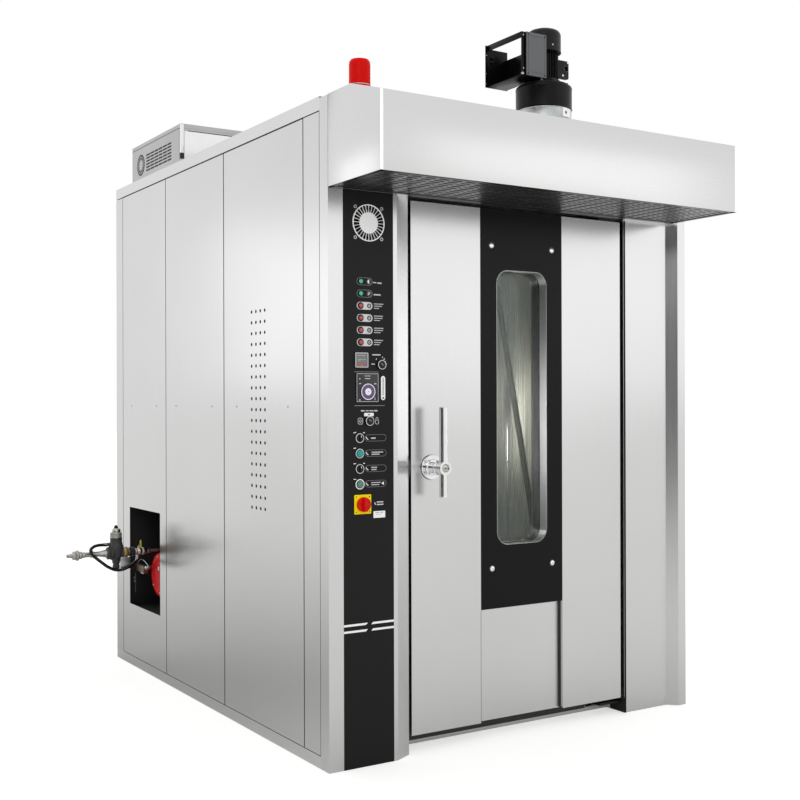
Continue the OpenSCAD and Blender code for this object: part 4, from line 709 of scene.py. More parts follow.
@dataclass
class Studio:
    """A white room: a pale floor, a bright sky that metal mirrors, soft lamps and the camera."""

    floor_side: float = 80000.0
    sky: float = 1.0
    fill: float = 0.86
    lens: float = 52.73
    stand: tuple[float, float, float] = (-2.730, -4.523, 1.250)
    swing: float = -32.29
    roll: float = -0.15
    rise: float = 0.75 / 800
    reflection_glow_front: float = 0.34
    reflection_glow_far: float = 0.42
    floor_glow: float = 0.58

    def camera(self) -> None:
        """Set the camera where the photograph was taken from."""
        clear()
        turn = (Matrix.Rotation(math.radians(self.swing), 4, "Z") @ Matrix.Rotation(math.radians(90), 4, "X")
                @ Matrix.Rotation(math.radians(self.roll), 4, "Z"))
        bpy.ops.object.camera_add(location=self.stand, rotation=turn.to_euler())
        camera = bpy.context.active_object
        camera.name = "camera"
        camera.data.sensor_width = 36.0
        camera.data.lens = self.lens
        camera.data.shift_y = self.rise
        camera.data.clip_end = 200.0
        bpy.context.scene.camera = camera

    def world(self) -> None:
        """Make a sky that is white in the picture, in metal and in glass, and softer as a light."""
        world = bpy.data.worlds.new("white_room")
        bpy.context.scene.world = world
        world.use_nodes = True
        tree = world.node_tree
        ray = tree.nodes.new("ShaderNodeLightPath").outputs
        seen = wire(tree, "Math", {0: ray["Is Camera Ray"], 1: ray["Is Glossy Ray"]}, operation="MAXIMUM")
        seen = wire(tree, "Math", {0: seen, 1: ray["Is Transmission Ray"]}, operation="MAXIMUM")
        strength = wire(tree, "MapRange", {"Value": seen, "To Min": self.fill, "To Max": self.sky})
        tree.links.new(strength, tree.nodes["Background"].inputs["Strength"])
        tree.nodes["Background"].inputs["Color"].default_value = (1.0, 1.0, 1.0, 1.0)

    def floor(self) -> None:
        """Lay a pale floor that shows white, keeps the object's shadow, and is darker in bright metal, except for a
        painted reflection glow that grows towards the front and far off.
        """
        clear()
        bpy.ops.mesh.primitive_grid_add(
            x_subdivisions=4, y_subdivisions=4, size=self.floor_side * MM, location=(0, 0, -0.0005))
        ground = settle()
        ground.name = "floor"
        pale = bpy.data.materials.new("floor_pale")
        pale.use_nodes = True
        tree = pale.node_tree
        shader = tree.nodes["Principled BSDF"].inputs
        shader["Base Color"].default_value = linear("#cfcfcd")
        shader["Roughness"].default_value = 0.8
        shader["Specular IOR Level"].default_value = 0.1
        shader["Emission Color"].default_value = (1.0, 1.0, 1.0, 1.0)
        ray = tree.nodes.new("ShaderNodeLightPath").outputs
        place = wire(tree, "TexCoord", {}, "Object")
        depth = wire(tree, "SeparateXYZ", {"Vector": place}, "Y")
        far = wire(tree, "VectorMath", {0: place}, "Value", operation="LENGTH")
        # In metal the floor gets a painted reflection glow, growing towards the front and away from the oven.
        front = wire(tree, "MapRange", {"Value": depth, "From Min": 0.4, "From Max": -2.2, "To Max": self.reflection_glow_front},
                     interpolation_type="SMOOTHSTEP")
        around = wire(tree, "MapRange", {"Value": far, "From Min": 1.2, "From Max": 7.0, "To Max": self.reflection_glow_far})
        card = wire(tree, "Math", {0: front, 1: around}, operation="MAXIMUM")
        painted_reflection = wire(tree, "Math", {0: ray["Is Glossy Ray"], 1: card}, operation="MULTIPLY")
        lift = wire(tree, "Math", {0: ray["Is Camera Ray"], 1: self.floor_glow, 2: painted_reflection},
                    operation="MULTIPLY_ADD")
        tree.links.new(lift, shader["Emission Strength"])
        ground.data.materials.append(pale)

    def lamp(self, name: str, place: Point, aim: Point, size: tuple[float, float], power: float) -> None:
        """Hang one soft box lamp.

        Args:
            name: The lamp's name.
            place: Where it hangs, in mm.
            aim: The point that it faces, in mm.
            size: Its width and height in mm.
            power: Watts.
        """
        clear()
        start = at(place)
        turn = (start - at(aim)).to_track_quat("Z", "Y").to_euler()
        bpy.ops.object.light_add(type="AREA", location=start, rotation=turn)
        lamp = bpy.context.active_object
        lamp.name = name
        lamp.data.shape = "RECTANGLE"
        lamp.data.size, lamp.data.size_y = (side * MM for side in size)
        lamp.data.energy = power

    def flag(self, name: str, place: Point, size: tuple[float, float], turn: float) -> None:
        """Stand a dark card in the room that only shows in bright curved metal, as its dark edge.

        Args:
            name: The card's name.
            place: Where its middle is, in mm.
            size: Its width and height in mm.
            turn: Its turn about the upright axis in degrees.
        """
        clear()
        bpy.ops.mesh.primitive_plane_add(
            size=1, location=at(place), rotation=(math.radians(90), 0, math.radians(turn)))
        bpy.context.active_object.scale = (size[0] * MM, size[1] * MM, 1)
        card = settle()
        card.name = name
        card.visible_camera = card.visible_diffuse = card.visible_shadow = False
        felt = bpy.data.materials.new(f"{name}_felt")
        felt.use_nodes = True
        shader = felt.node_tree.nodes["Principled BSDF"].inputs
        shader["Base Color"].default_value = linear("#3c3c3c")
        shader["Roughness"].default_value = 0.9
        card.data.materials.append(felt)

    def build(self) -> None:
        """Set up the whole studio."""
        bpy.context.scene.view_settings.view_transform = "Standard"
        self.camera()
        self.world()
        self.floor()
        self.lamp("lamp_front", (4300, -4800, 2350), (835, 0, 1600), (5600, 2200), 17)
        self.lamp("lamp_back", (-3600, 4400, 2000), (-835, 0, 1600), (3600, 1300), 9)
        self.lamp("lamp_key", (-3000, -4200, 4200), (835, 400, 1200), (2600, 2600), 22)
        self.lamp("lamp_chamber", (330, 420, 1150), (900, 900, 1150), (380, 380), 9)
        self.lamp("lamp_side", (7000, -700, 1500), (200, 0, 1700), (1200, 1800), 8)
        self.flag("flag_left", (-6500, -900, 1900), (4200, 3800), 90)
        self.flag("flag_behind", (-5200, -5200, 1900), (4600, 3800), 132)
        LOG.info("studio is lit")


class Assembly:
    """What every sub-assembly does: it dresses CAD nodes and fits pieces, mostly on one body."""

    slot: ClassVar[str] = "brushed_sheet"
    body: ClassVar[str] = "casing"

    def dress(self, finish: str, *nodes: str) -> None:
        """Put a finish on CAD nodes whose shape is already right.

        Args:
            finish: The finish's name.
            nodes: The nodes' names.
        """
        for node in nodes:
            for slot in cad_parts[node].material_slots:
                slot.material = material(finish)
            LOG.info("%s keeps its shape and takes %s", node, finish)

    def put(self, name: str, parts: Piece | list[Piece], finish: str, slot: str = "", body: str = "",
            instead_of: Sequence[str] = ()) -> None:
        """Join parts into one piece, and give it its finish and the body that carries it.

        Args:
            name: The piece's name.
            parts: One part, or all that are joined.
            finish: Its finish's name.
            slot: The record's material slot, where it isn't the assembly's usual one; not used.
            body: The body that it moves with, where it isn't the usual one.
            instead_of: CAD nodes that it stands for.
        """
        piece = join(parts if isinstance(parts, list) else [parts])
        piece.name = piece.data.name = name
        piece.data.materials.clear()
        piece.data.materials.append(material(finish))
        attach(piece, body or self.body)
        if instead_of:
            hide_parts(*instead_of)
        LOG.info("%s rides on %s", name, body or self.body)


@dataclass
class Casing(Assembly):
    """The oven's own walls: side panels in three widths, folded columns, roof and foot frame."""

    right: float = 1670.0
    joints: tuple[float, ...] = (180.0, 859.0, 1491.0, 2059.0)
    joint_gaps: tuple[float, ...] = (1.6, 2.7, 1.3)
    panel_ends: tuple[float, float] = (60.0, 2056.0)
    vent_columns: tuple[float, ...] = (487.0, 525.0, 563.0, 601.0)
    vent_foot: float = 849.0
    vent_pitch: float = 41.0
    vent_rows: int = 19
    screw_level: float = 1230.0
    screw_inset: float = 120.0
    screw_radius: float = 5.0

    def panel_screws(self) -> None:
        """Fix the left side panels with small screws at waist height."""
        left = span("left_panels")[0].x
        places = [(left, y, self.screw_level) for front, back in zip(self.joints, self.joints[1:])
                  for y in (front + self.screw_inset, back - self.screw_inset)]
        self.put("left_panel_screws", screws(places, LEFT, self.screw_radius), "zinc_plated", "polished_steel")

    def seam_lines(self) -> None:
        """Show the joints between the panels as thin dark gaps, on both sides."""
        low, high = span("left_panels")
        strips = [(y - half, low.z, y + half, high.z) for y, half in zip(self.joints, self.joint_gaps)]
        strips += [(y - 1, low.z, y + 1, high.z) for y in self.panel_ends]
        strips += [(self.joints[0] - self.joint_gaps[0], high.z - 1.2, high.y, high.z + 4.6),
                   (low.y, low.z - 1.6, high.y, low.z + 1)]
        for name, x0, x1 in (("left_seams", -0.25, 0.6), ("right_seams", self.right - 0.6, self.right + 0.25)):
            self.put(name, [block((x0, y0, z0), (x1, y1, z1)) for y0, z0, y1, z1 in strips], "primer_dark_and_shade")

    def vent_shade_rims(self) -> None:
        """Give the vents in both sides soft dark rims of painted shade, and shade the space behind them with a dark
        sheet of painted shade.
        """
        rim = [(5.2, -0.3), (6.5, -0.1), (6.5, 0.2), (5.2, 0.25)]
        y0, z0 = self.vent_columns[0], self.vent_foot
        rest = [(0, y - y0, self.vent_pitch * j) for y in self.vent_columns for j in range(self.vent_rows)][1:]
        for side, face, way, (x0, x1) in (("left", 0, LEFT, (3, 4.5)),
                                          ("right", self.right, RIGHT, (self.right - 4.5, self.right - 3))):
            self.put(f"{side}_vent_shade_rims", row(turned((face, y0, z0), way, rim, steps=16), rest), "primer_dark_and_shade")
            self.put(f"{side}_vent_shade", block((x0, y0 - 25, z0 - 23), (x1, y0 + 139, z0 + 761), 0.3),
                     "primer_dark_and_shade")

    def foot_shade(self) -> None:
        """Darken the right column's inner face, where the light beside and under the door doesn't reach."""
        x, door_foot = span("right_column")[0].x, 61.5
        self.put("right_column_shades", [block((x - 0.2, 24, 2), (x + 0.6, 118, door_foot)),
                                         block((x - 0.2, 24, door_foot), (x + 0.6, 33.5, 1966))], "primer_dark_and_shade")

    def foot_trim(self) -> None:
        """Fold a rolled lip along the foot of both sides, as the panels stand on it."""
        low, high = span("base_frame")
        for name, x in (("left_foot_lip", low.x + 0.2), ("right_foot_lip", high.x - 5)):
            self.put(name, block((x, low.y + 3, high.z - 3.5), (x + 4.8, high.y - 3, high.z + 0.5), 1.6, 3),
                     "stainless_brushed_across")

    def build(self) -> None:
        """Dress the walls and fit what is small on them."""
        self.dress("stainless_brushed_upright", "control_column", "right_column", "left_panels", "right_panels",
                   "rear_panel", "door_skins")
        self.dress("stainless_brushed_across", "roof_panel", "header_panel", "base_frame")
        # The roof box takes a darker sheet, as painted shade.
        self.dress("stainless_roof_box_shaded", "roof_box")
        for make in (self.panel_screws, self.seam_lines, self.vent_shade_rims, self.foot_shade, self.foot_trim):
            make()


@dataclass
class ControlPanel(Assembly):
    """The black panel on the front: fan guard, lamps, timer, controller, selectors and main switch."""

    slot: ClassVar[str] = "instrument_grey"
    guard_radius: float = 63.5
    guard_spokes: int = 28
    fan_screw: float = 52.5
    lamp_x: float = 126.0
    lamp_top: float = 1658.0
    lamp_pitch: float = 41.6
    lamp_radius: float = 8.0
    symbol_x: float = 160.0
    pill_height: float = 26.0
    selector_x: float = 120.6
    selector_top: float = 1123.0
    selector_pitch: float = 52.4
    ring_radius: float = 14.0
    knobs: tuple[tuple[float, float], ...] = ((206.5, 1374.0), (157.5, 1181.0))
    knob_radius: float = 14.2
    switch: tuple[float, float] = (131.0, 897.0)
    switch_side: float = 66.0
    switch_screw: float = 26.0
    timer: tuple[float, float] = (128.0, 1389.0)
    timer_side: float = 52.0
    controller: tuple[float, float] = (151.0, 1295.0)
    controller_size: tuple[float, float] = (88.0, 99.0)
    bezel: float = 3.0
    stripe_z: tuple[float, float] = (488.0, 466.0)
    stripe_gap: tuple[float, float] = (151.5, 164.5)

    def __post_init__(self) -> None:
        """List the heights of the lamps and of the selectors, from the top down."""
        self.lamps = [self.lamp_top - i * self.lamp_pitch for i in range(6)]
        self.selectors = [self.selector_top - i * self.selector_pitch for i in range(4)]

    def ink(self, name: str, outlines: Iterable[Outline], finish: str = "ink_white_painted_glow", level: float = -0.3,
            rim: float = 0.0, thickness: float = 0.6, slot: str = "guard_white", body: str = "") -> None:
        """Print marks on the panel as one piece.

        Args:
            name: The piece's name.
            outlines: The outlines in mm.
            finish: The ink's name.
            level: Where the faces lie.
            rim: Width of an outline that is only a rim; 0 fills it.
            thickness: How thick the marks are.
            slot: The record's material slot; not used.
            body: The body that carries them.
        """
        self.put(name, prints(outlines, level, rim, thickness), finish, slot, body)

    def guard(self) -> None:
        """Mould the fan's guard: a thin ring and a plain disc on fine spokes, over the fan's dark frame."""
        mid = middle("cabinet_fan")
        x, z, r, c = mid.x, mid.z, self.guard_radius, self.fan_screw
        ring = [(r - 3.8, 0), (r, 0), (r, 2.4), (r - 1, 3.6), (r - 3, 3.6), (r - 3.8, 2.6)]
        disc = [(0, 0), (36.5, 0), (36.5, 2.6), (35, 3.7), (12, 4), (0, 4)]
        spoke = block((x - 0.9, -3.3, z + 35.5), (x + 0.9, -0.4, z + r - 3.2), 0.4)
        self.put("fan_guard_moulding", [
            turned((x, 0, z), FRONT, ring, 0.3, 72), turned((x, 0, z), FRONT, disc, 0.3, 56),
            *spread(spoke, self.guard_spokes, (x, 0, z), "Y")], "abs_white_painted_glow", "guard_white", instead_of=("fan_guard",))
        box = cut(block((x - 60, 3.1, z - 60), (x + 60, 41, z + 60), 2.5),
                  rod((x, -5, z), (x, 60, z), 57, sides=64))
        arm = block((x + 18, 37, z - 2), (x + 58, 41, z + 2), 0.5)
        arms = [twin(arm, (0, 0, 0), about((x, 0, z), "Y", math.radians(a))) for a in (45, 135, 225, 315)]
        bpy.data.objects.remove(arm, do_unlink=True)
        self.put("fan_frame_moulding", [box, rod((x, 33, z), (x, 41, z), 20, 0.6), rod((x, 11, z), (x, 33.5, z), 3),
                                        *arms], "phenolic_black", "guard_white")
        eye = [(3, -0.3), (6.6, -0.3), (6.6, 1), (5.6, 1.9), (4, 1.9), (3, 1)]
        first = turned((x - c, 0, z - c), FRONT, eye, steps=24)
        self.put("guard_rivets", row(first, ((a * 2 * c, 0, b * 2 * c) for a, b in ((1, 0), (0, 1), (1, 1)))),
                 "zinc_plated", "polished_steel")
        self.put("guard_rivet_cores", [rod((x + a * c, 0.5, z + b * c), (x + a * c, -0.7, z + b * c), 3.2, 0.2, 20)
                                       for a in (-1, 1) for b in (-1, 1)], "phenolic_black", "black_plate")

    def lamp_row(self) -> None:
        """Fit six indicator lamps with domed lenses in dark rings."""
        x, r, levels = self.lamp_x, self.lamp_radius, self.lamps
        shifts = [(0, 0, z - levels[0]) for z in levels[1:]]
        ring = [(r - 0.6, -0.5), (r + 2, -0.5), (r + 2, 2.2), (r + 1.2, 3.4), (r - 0.6, 3.4)]
        self.put("lamp_rings", row(turned((x, 0, levels[0]), FRONT, ring, 0.3, 32), shifts), "phenolic_black",
                 instead_of=("panel_fittings",))
        lens = [(0, -0.4), (r - 0.4, -0.4), (r - 0.4, 3.2), (r - 1.6, 4.4), (r * 0.45, 4.95), (0, 5)]
        lenses = row(turned((x, 0, levels[0]), FRONT, lens, 0.2, 32), shifts)
        self.put("green_lenses", lenses[:2], "acrylic_green", "button_teal")
        self.put("red_lenses", lenses[2:], "acrylic_red", "switch_red")

    def pills(self) -> None:
        """Print the pill round each lamp, with its round or slanted sign."""
        x, levels, height = self.symbol_x, self.lamps, self.pill_height
        pill = [rounded((self.lamp_x + x) / 2 - 1, z, 62, height, height / 2 - 0.1) for z in levels]
        self.ink("pill_lines", pill[:2], "ink_dim", rim=1.2, slot="black_plate")
        self.ink("pill_fields", pill[2:], "ink_pill", -0.25)
        eyes = [ellipse(u, z, r, r) for u, r in ((x, 8.6), (self.lamp_x, 12)) for z in levels[2:]]
        self.ink("pill_eyes", eyes, "ink_black", -0.4, slot="black_plate")
        diamonds = [[(x - 4.6, z), (x, z + 5.6), (x + 4.6, z), (x, z - 5.6)] for z in levels[2:]]
        self.ink("pill_diamonds", diamonds, level=-0.55, rim=1.3)
        self.ink("pill_rounds", [ellipse(x, z, 9, 9) for z in levels[:2]], "ink_dim", -0.4, 1.1, slot="black_plate")
        half = [(x + 6.4 * math.sin(t), levels[0] + 6.4 * math.cos(t))
                for t in (math.pi * (1 + i / 12) for i in range(13))]
        z = levels[1]
        self.ink("pill_symbols", [half, bar(x - 4, z - 4, x + 4, z + 4, 2.2), bar(x - 4, z + 2, x - 1, z + 5, 2.2)],
                 level=-0.5)

    def labels(self) -> None:
        """Print plain dashes where a panel has its captions, the lines between its fields, and the ticks."""
        x, lamps, tops = self.selector_x, self.lamps, self.selectors
        dashes = [(176, lamps[0] - 2, 189, 3.6), (193, lamps[0] - 3, 210, 4.6), (178, lamps[1] - 2, 206, 4.6)]
        for z, widths in zip(lamps[2:], ((38, 32, 20), (36, 34, 24), (38, 36, 26), (36, 28, 22))):
            dashes += [(179, z + 8 - 7.5 * i, 179 + width, 2.6) for i, width in enumerate(widths)]
        dashes += [(172, 1408, 205, 4.2), (168, 1376, 182, 3.6), (126, 1216, 140, 4.6), (144, 1216, 157, 3),
                   (160, 1216, 176, 3.6), (179, 1216, 192, 4.6), (166, tops[0] - 1, 184, 4.6),
                   (168, tops[1] + 3, 214, 3.4), (168, tops[1] - 4, 200, 3.4), (167, tops[2] + 3.5, 190, 3.4),
                   (167, tops[2] - 4, 188, 3.4), (166, tops[3] + 3.6, 204, 2.8), (166, tops[3] - 3.6, 198, 2.8),
                   (188, 902, 215, 3.8), (188, 893.5, 215, 3.8)]
        self.ink("caption_dashes", [bar(a, z, b, z, wide) for a, z, b, wide in dashes], "ink_soft")
        self.ink("field_lines", [bar(101, 1349, 197, 1349, 1.6), bar(101, 1233.5, 221, 1233.5, 1.8)], "ink_dim",
                 slot="black_plate")
        self.ink("caption_pills", [rounded(185, z, 84, 23, 11.4) for z in tops], "ink_dim", rim=0.9,
                 slot="black_plate")
        ticks: list[Outline] = []
        for i, z in enumerate(tops):
            ticks.append(bar(x - 24, z + 18, x - 14, z + 20 - i, 2.4))
            if i % 2 == 0:
                ticks.append(bar(x + 14, z + 19, x + 21, z + 18, 2.4))
            ticks += [bar(146, z + 4, 150, z - 2, 2.6), bar(150, z - 3, 155, z - 5, 2.6)]
        ticks.append([(207, tops[3]), (217, tops[3] + 6), (217, tops[3] - 6)])
        ticks += [bar(*ends) for ends in (
            (180, 901, 183, 893, 2.6), (217, 1391, 222, 1396, 2.2), (186, 1392, 190, 1395, 2.2),
            (225, 1376, 230, 1378, 2.2), (212, 1398, 214, 1402, 2.2), (221, 1383, 226, 1386, 2.2))]
        self.ink("dial_ticks", ticks)

    def gauge(self) -> None:
        """Print the upright scale beside the controller and the signs over the steam knob."""
        self.ink("scale_field", [rounded(215, 1294, 17, 83, 8.4), rounded(158, 1203, 38, 11.5, 2.5)])
        marks = [bar(212.5, z, 217.5, z, 1.3) for z in range(1272, 1330, 4)]
        marks += [ellipse(215, 1260, 3.4, 3.4, 20), ellipse(158, 1203, 3, 2.6, 20), bar(215, 1268, 215, 1330, 1.6)]
        self.ink("scale_marks", marks, "ink_black", -0.5, slot="black_plate")
        self.ink("steam_signs", [rounded(124, 1181, 20, 22, 5), ellipse(124, 1181, 5, 5, 20),
                                 ellipse(190, 1177, 8, 8, 24), ellipse(190, 1188, 5.5, 5.5, 20)], "ink_soft", rim=1.8)

    def timer_face(self) -> None:
        """Fit the timer's frame, its silvered window and its row of digits."""
        (u, v), side, level = self.timer, self.timer_side, 0.5 - self.bezel
        self.put("timer_frame", plate(Plane.FRONT, rounded(u, v, side - 0.4, side - 0.4, 4), level, -2.2, 0.8, 4),
                 "polycarbonate_light")
        self.put("timer_window", plate(Plane.FRONT, rounded(u, v, side - 7.6, side - 7.6, 2), level, -0.9, 0.2),
                 "display_silver")
        digits = [rounded(u + x, v - 15.5, 6.8, 8.6, 1.4, 3) for x in (-16.5, -8, 4.5, 13.5)]
        self.ink("timer_digits", digits, "display_red", level - 1.15, 1.3, slot="switch_red")
        dots = [ellipse(u, v - 16.5 + z, 0.9, 0.9, 12) for z in (-2, 2)]
        dots += [bar(u + a, v + z, u + b, v + z, wide) for a, b, z, wide in (
            (-17, 14, 16, 1.4), (-15, 2, 2, 1.6), (-15, -4, -3, 1.4), (6, 15, 2, 1.4))]
        self.ink("timer_marks", dots, "ink_soft", level - 1.15)

    def controller_face(self) -> None:
        """Fit the controller's dark face, its thin frame and its corner marks."""
        (u, v), (width, height), level = self.controller, self.controller_size, 0.4 - self.bezel
        low = middle("controller_dial").z
        face = cut(plate(Plane.FRONT, rounded(u, v, width - 0.4, height - 0.4, 3), level, -1, 0.3),
                   rod((u, level + 4, low), (u, level - 6, low), 3.4))
        self.put("controller_face", face, "polycarbonate_dark")
        self.ink("controller_frame", [rounded(u, v, width - 2, height - 2, 2.4)], "ink_soft", level - 1.25, 1.5)
        marks = [bar(u - 12, v + 40, u + 12, v + 40, 2), bar(u - 10, v + 31, u + 10, v + 31, 2.8),
                 ellipse(u - 31, v + 30, 2, 2.6, 16), bar(u - 34, v + 13, u - 26, v + 14, 3),
                 bar(u + 26, v + 14, u + 35, v + 13, 3.4), ellipse(u - 31, v - 42, 2.4, 3, 16),
                 bar(u + 29, v - 41, u + 29, v - 32, 1.8), bar(u + 27, v - 41, u + 32, v - 41, 1.8)]
        self.ink("controller_marks", marks, "ink_soft", level - 1.3)

    def dial(self) -> None:
        """Fit the rings, the cap, the graduation and the pointer of the controller's dial."""
        u, z, front = self.controller[0], middle("controller_dial").z, span("controller_dial")[0].y
        for name, radius, drop, rim, finish in (("dial_ring", 27.8, 0.35, 2.4, "acrylic_white"),
                                                ("dial_halo", 25.9, 0.3, 1.8, "acrylic_violet"),
                                                ("dial_band", 24.2, 0.25, 13.0, "acrylic_dusk")):
            self.ink(name, [ellipse(u, z, radius, radius, 64)], finish, front - drop, rim, slot="dial_violet",
                     body="temperature_dial")
        cap = [(0, -0.3), (12.4, -0.3), (12.4, 0.6), (11.2, 1.3), (4, 1.7), (0, 1.7)]
        self.put("dial_cap", turned((u, front, z), FRONT, cap, 0.2), "acrylic_white", "dial_violet",
                 "temperature_dial")
        turns = [math.pi * i / 12 for i in range(24)]
        lines = [bar(u + 20.6 * math.cos(t), z + 20.6 * math.sin(t),
                     u + 22.2 * math.cos(t), z + 22.2 * math.sin(t), 0.8) for t in turns]
        self.ink("dial_graduation", lines, "ink_dim", front - 0.5, body="temperature_dial")
        pointer = [bar(u + x, z + 2.5, u, z - 0.5, 0.9) for x in (-1.5, 1.5)]
        self.ink("dial_pointer", pointer, "ink_black", front - 2.1, slot="black_plate", body="temperature_dial")

    def rings(self) -> None:
        """Fit the bezels round selectors, buttons and small knobs."""
        r, wall, x, levels = self.ring_radius, self.knob_radius, self.selector_x, self.selectors
        bezel = [(r - 1.5, -0.5), (r, -0.5), (r, 2.4), (r - 0.5, 3.6), (r - 1.1, 4), (r - 1.5, 3.4)]
        self.put("bezels", row(turned((x, 0, levels[0]), FRONT, bezel, 0.2, 40),
                               ((0, 0, z - levels[0]) for z in levels[1:])), "phenolic_black")
        for name, places, inner, wide, high in (
                ("selector_rims", [(x, z) for z in levels[:3]], r + 0.2, 1.9, 3.0),
                ("lit_rim", [(x, levels[3])], r + 0.2, 3.4, 3.0),
                ("small_knob_rims", self.knobs, wall, 1.7, 9.0)):
            rim = [(inner, high - 1), (inner + wide, high - 1), (inner + wide, high),
                   (inner + wide * 0.7, high + 0.5), (inner, high + 0.2)]
            (u, v), *rest = places
            self.put(name, row(turned((u, 0, v), FRONT, rim, 0.2, 40), ((a - u, 0, b - v) for a, b in rest)),
                     "ink_white_painted_glow", "guard_white")
        tube = [(wall, -0.5), (wall + 1.6, -0.5), (wall + 1.6, 8.2), (wall, 8.2)]
        self.put("small_knob_walls", [turned((u, 0, v), FRONT, tube, 0.2, 40) for u, v in self.knobs],
                 "phenolic_black", "black_plate")

    def caps(self) -> None:
        """Put a cap on each small knob and button, and a pointer on each knob and selector."""
        flat = [(0, -0.5), (11.5, -0.5), (11.5, 0.5), (10, 1.3), (0, 1.3)]
        domed = [(0, -0.4), (10.4, -0.4), (9.6, 0.6), (5, 0.9), (0, 1)]
        slanted, upright = (-3, 5, 3, -1, 2.2), (0, 2.5, 0, 9, 1.8)
        for node, body, sunk, cap, finish, slot, line in (
                ("timer_knob", "timer_dial", 2, flat, "phenolic_black", "black_plastic", slanted),
                ("steam_knob", "steam_dial", 2, flat, "phenolic_black", "black_plastic", slanted),
                ("upper_selector", "selector_a", 0, None, "", "", upright),
                ("lower_selector", "selector_b", 0, None, "", "", upright),
                ("start_button", "start_key", 0, domed, "abs_teal", "button_teal", None),
                ("lamp_button", "lamp_key", 0, domed, "acrylic_sea", "button_teal", None)):
            mid, front = middle(node), span(node)[0].y + sunk
            if cap:
                self.put(f"{node}_cap", turned((mid.x, front, mid.z), FRONT, cap, 0.2, 40), finish, slot, body)
            if line:
                u0, v0, u1, v1, wide = line
                self.ink(f"{node}_pointer", [bar(mid.x + u0, mid.z + v0, mid.x + u1, mid.z + v1, wide)],
                         level=front - (1.6 if cap else 0.3), body=body)

    def main_switch(self) -> None:
        """Fit the yellow plate with its screw wells, cap the red grip, and fix the tag under it."""
        (u, v), side, c = self.switch, self.switch_side, self.switch_screw
        wells = [(u + a * c, v + b * c) for a in (-1, 1) for b in (-1, 1)]
        board = plate(Plane.FRONT, rounded(u, v, side, side, 3), -0.05, -3.9, 0.8)
        self.put("switch_plate", cut(board, *(rod((p, -2.6, q), (p, -6, q), 2.6, sides=20) for p, q in wells)),
                 "abs_yellow_painted_glow", "lever_yellow")
        self.ink("switch_wells", [ellipse(p, q, 2.5, 2.5, 20) for p, q in wells], "ink_black", -2.7, thickness=0.3,
                 slot="black_plate")
        grip = [(0, -0.5), (9, -0.5), (9, 0.6), (7.4, 1.6), (0, 1.8)]
        self.put("switch_grip_cap", turned((u, span("main_switch_knob")[0].y, v), FRONT, grip, 0.3, 40), "abs_red",
                 "switch_red", "main_switch")
        self.ink("white_tag", [rounded(198.5, 859.5, 47, 23, 1.5)], level=-0.5, thickness=0.8)
        lines = [bar(182, 866, 198, 866, 2.2), bar(202, 866, 214, 866, 2.2), bar(184, 860, 206, 860, 1.6)]
        self.ink("tag_lines", lines, "ink_dim", -0.7, slot="black_plate")

    def stripes(self) -> None:
        """Print the two plain broken stripes low on the panel."""
        low, high = span("control_panel")
        left, right = self.stripe_gap
        halves = [corners for z in self.stripe_z for corners in (
            [(low.x, z - 3.6), (left - 8, z - 3.6), (left, z + 3.6), (low.x, z + 3.6)],
            [(right, z - 3.6), (high.x, z - 3.6), (high.x, z + 3.6), (right + 8, z + 3.6)])]
        self.ink("panel_stripes", halves)
        self.ink("stripe_gap", [[(150, 500), (160, 500), (170, 444), (160, 444)]], "powder_coat_black", -0.45,
                 slot="black_plate")

    def build(self) -> None:
        """Dress the panel and fit everything on it."""
        self.dress("powder_coat_black", "control_panel")
        self.dress("phenolic_black", "cabinet_fan", "timer_knob", "steam_knob", "upper_selector", "lower_selector",
                   "panel_instruments")
        self.dress("acrylic_dusk", "controller_dial")
        self.dress("abs_teal", "start_button")
        self.dress("acrylic_sea", "lamp_button")
        self.dress("abs_red", "main_switch_knob")
        for make in (self.guard, self.lamp_row, self.pills, self.labels, self.gauge, self.timer_face,
                     self.controller_face, self.dial, self.rings, self.caps, self.main_switch, self.stripes):
            make()


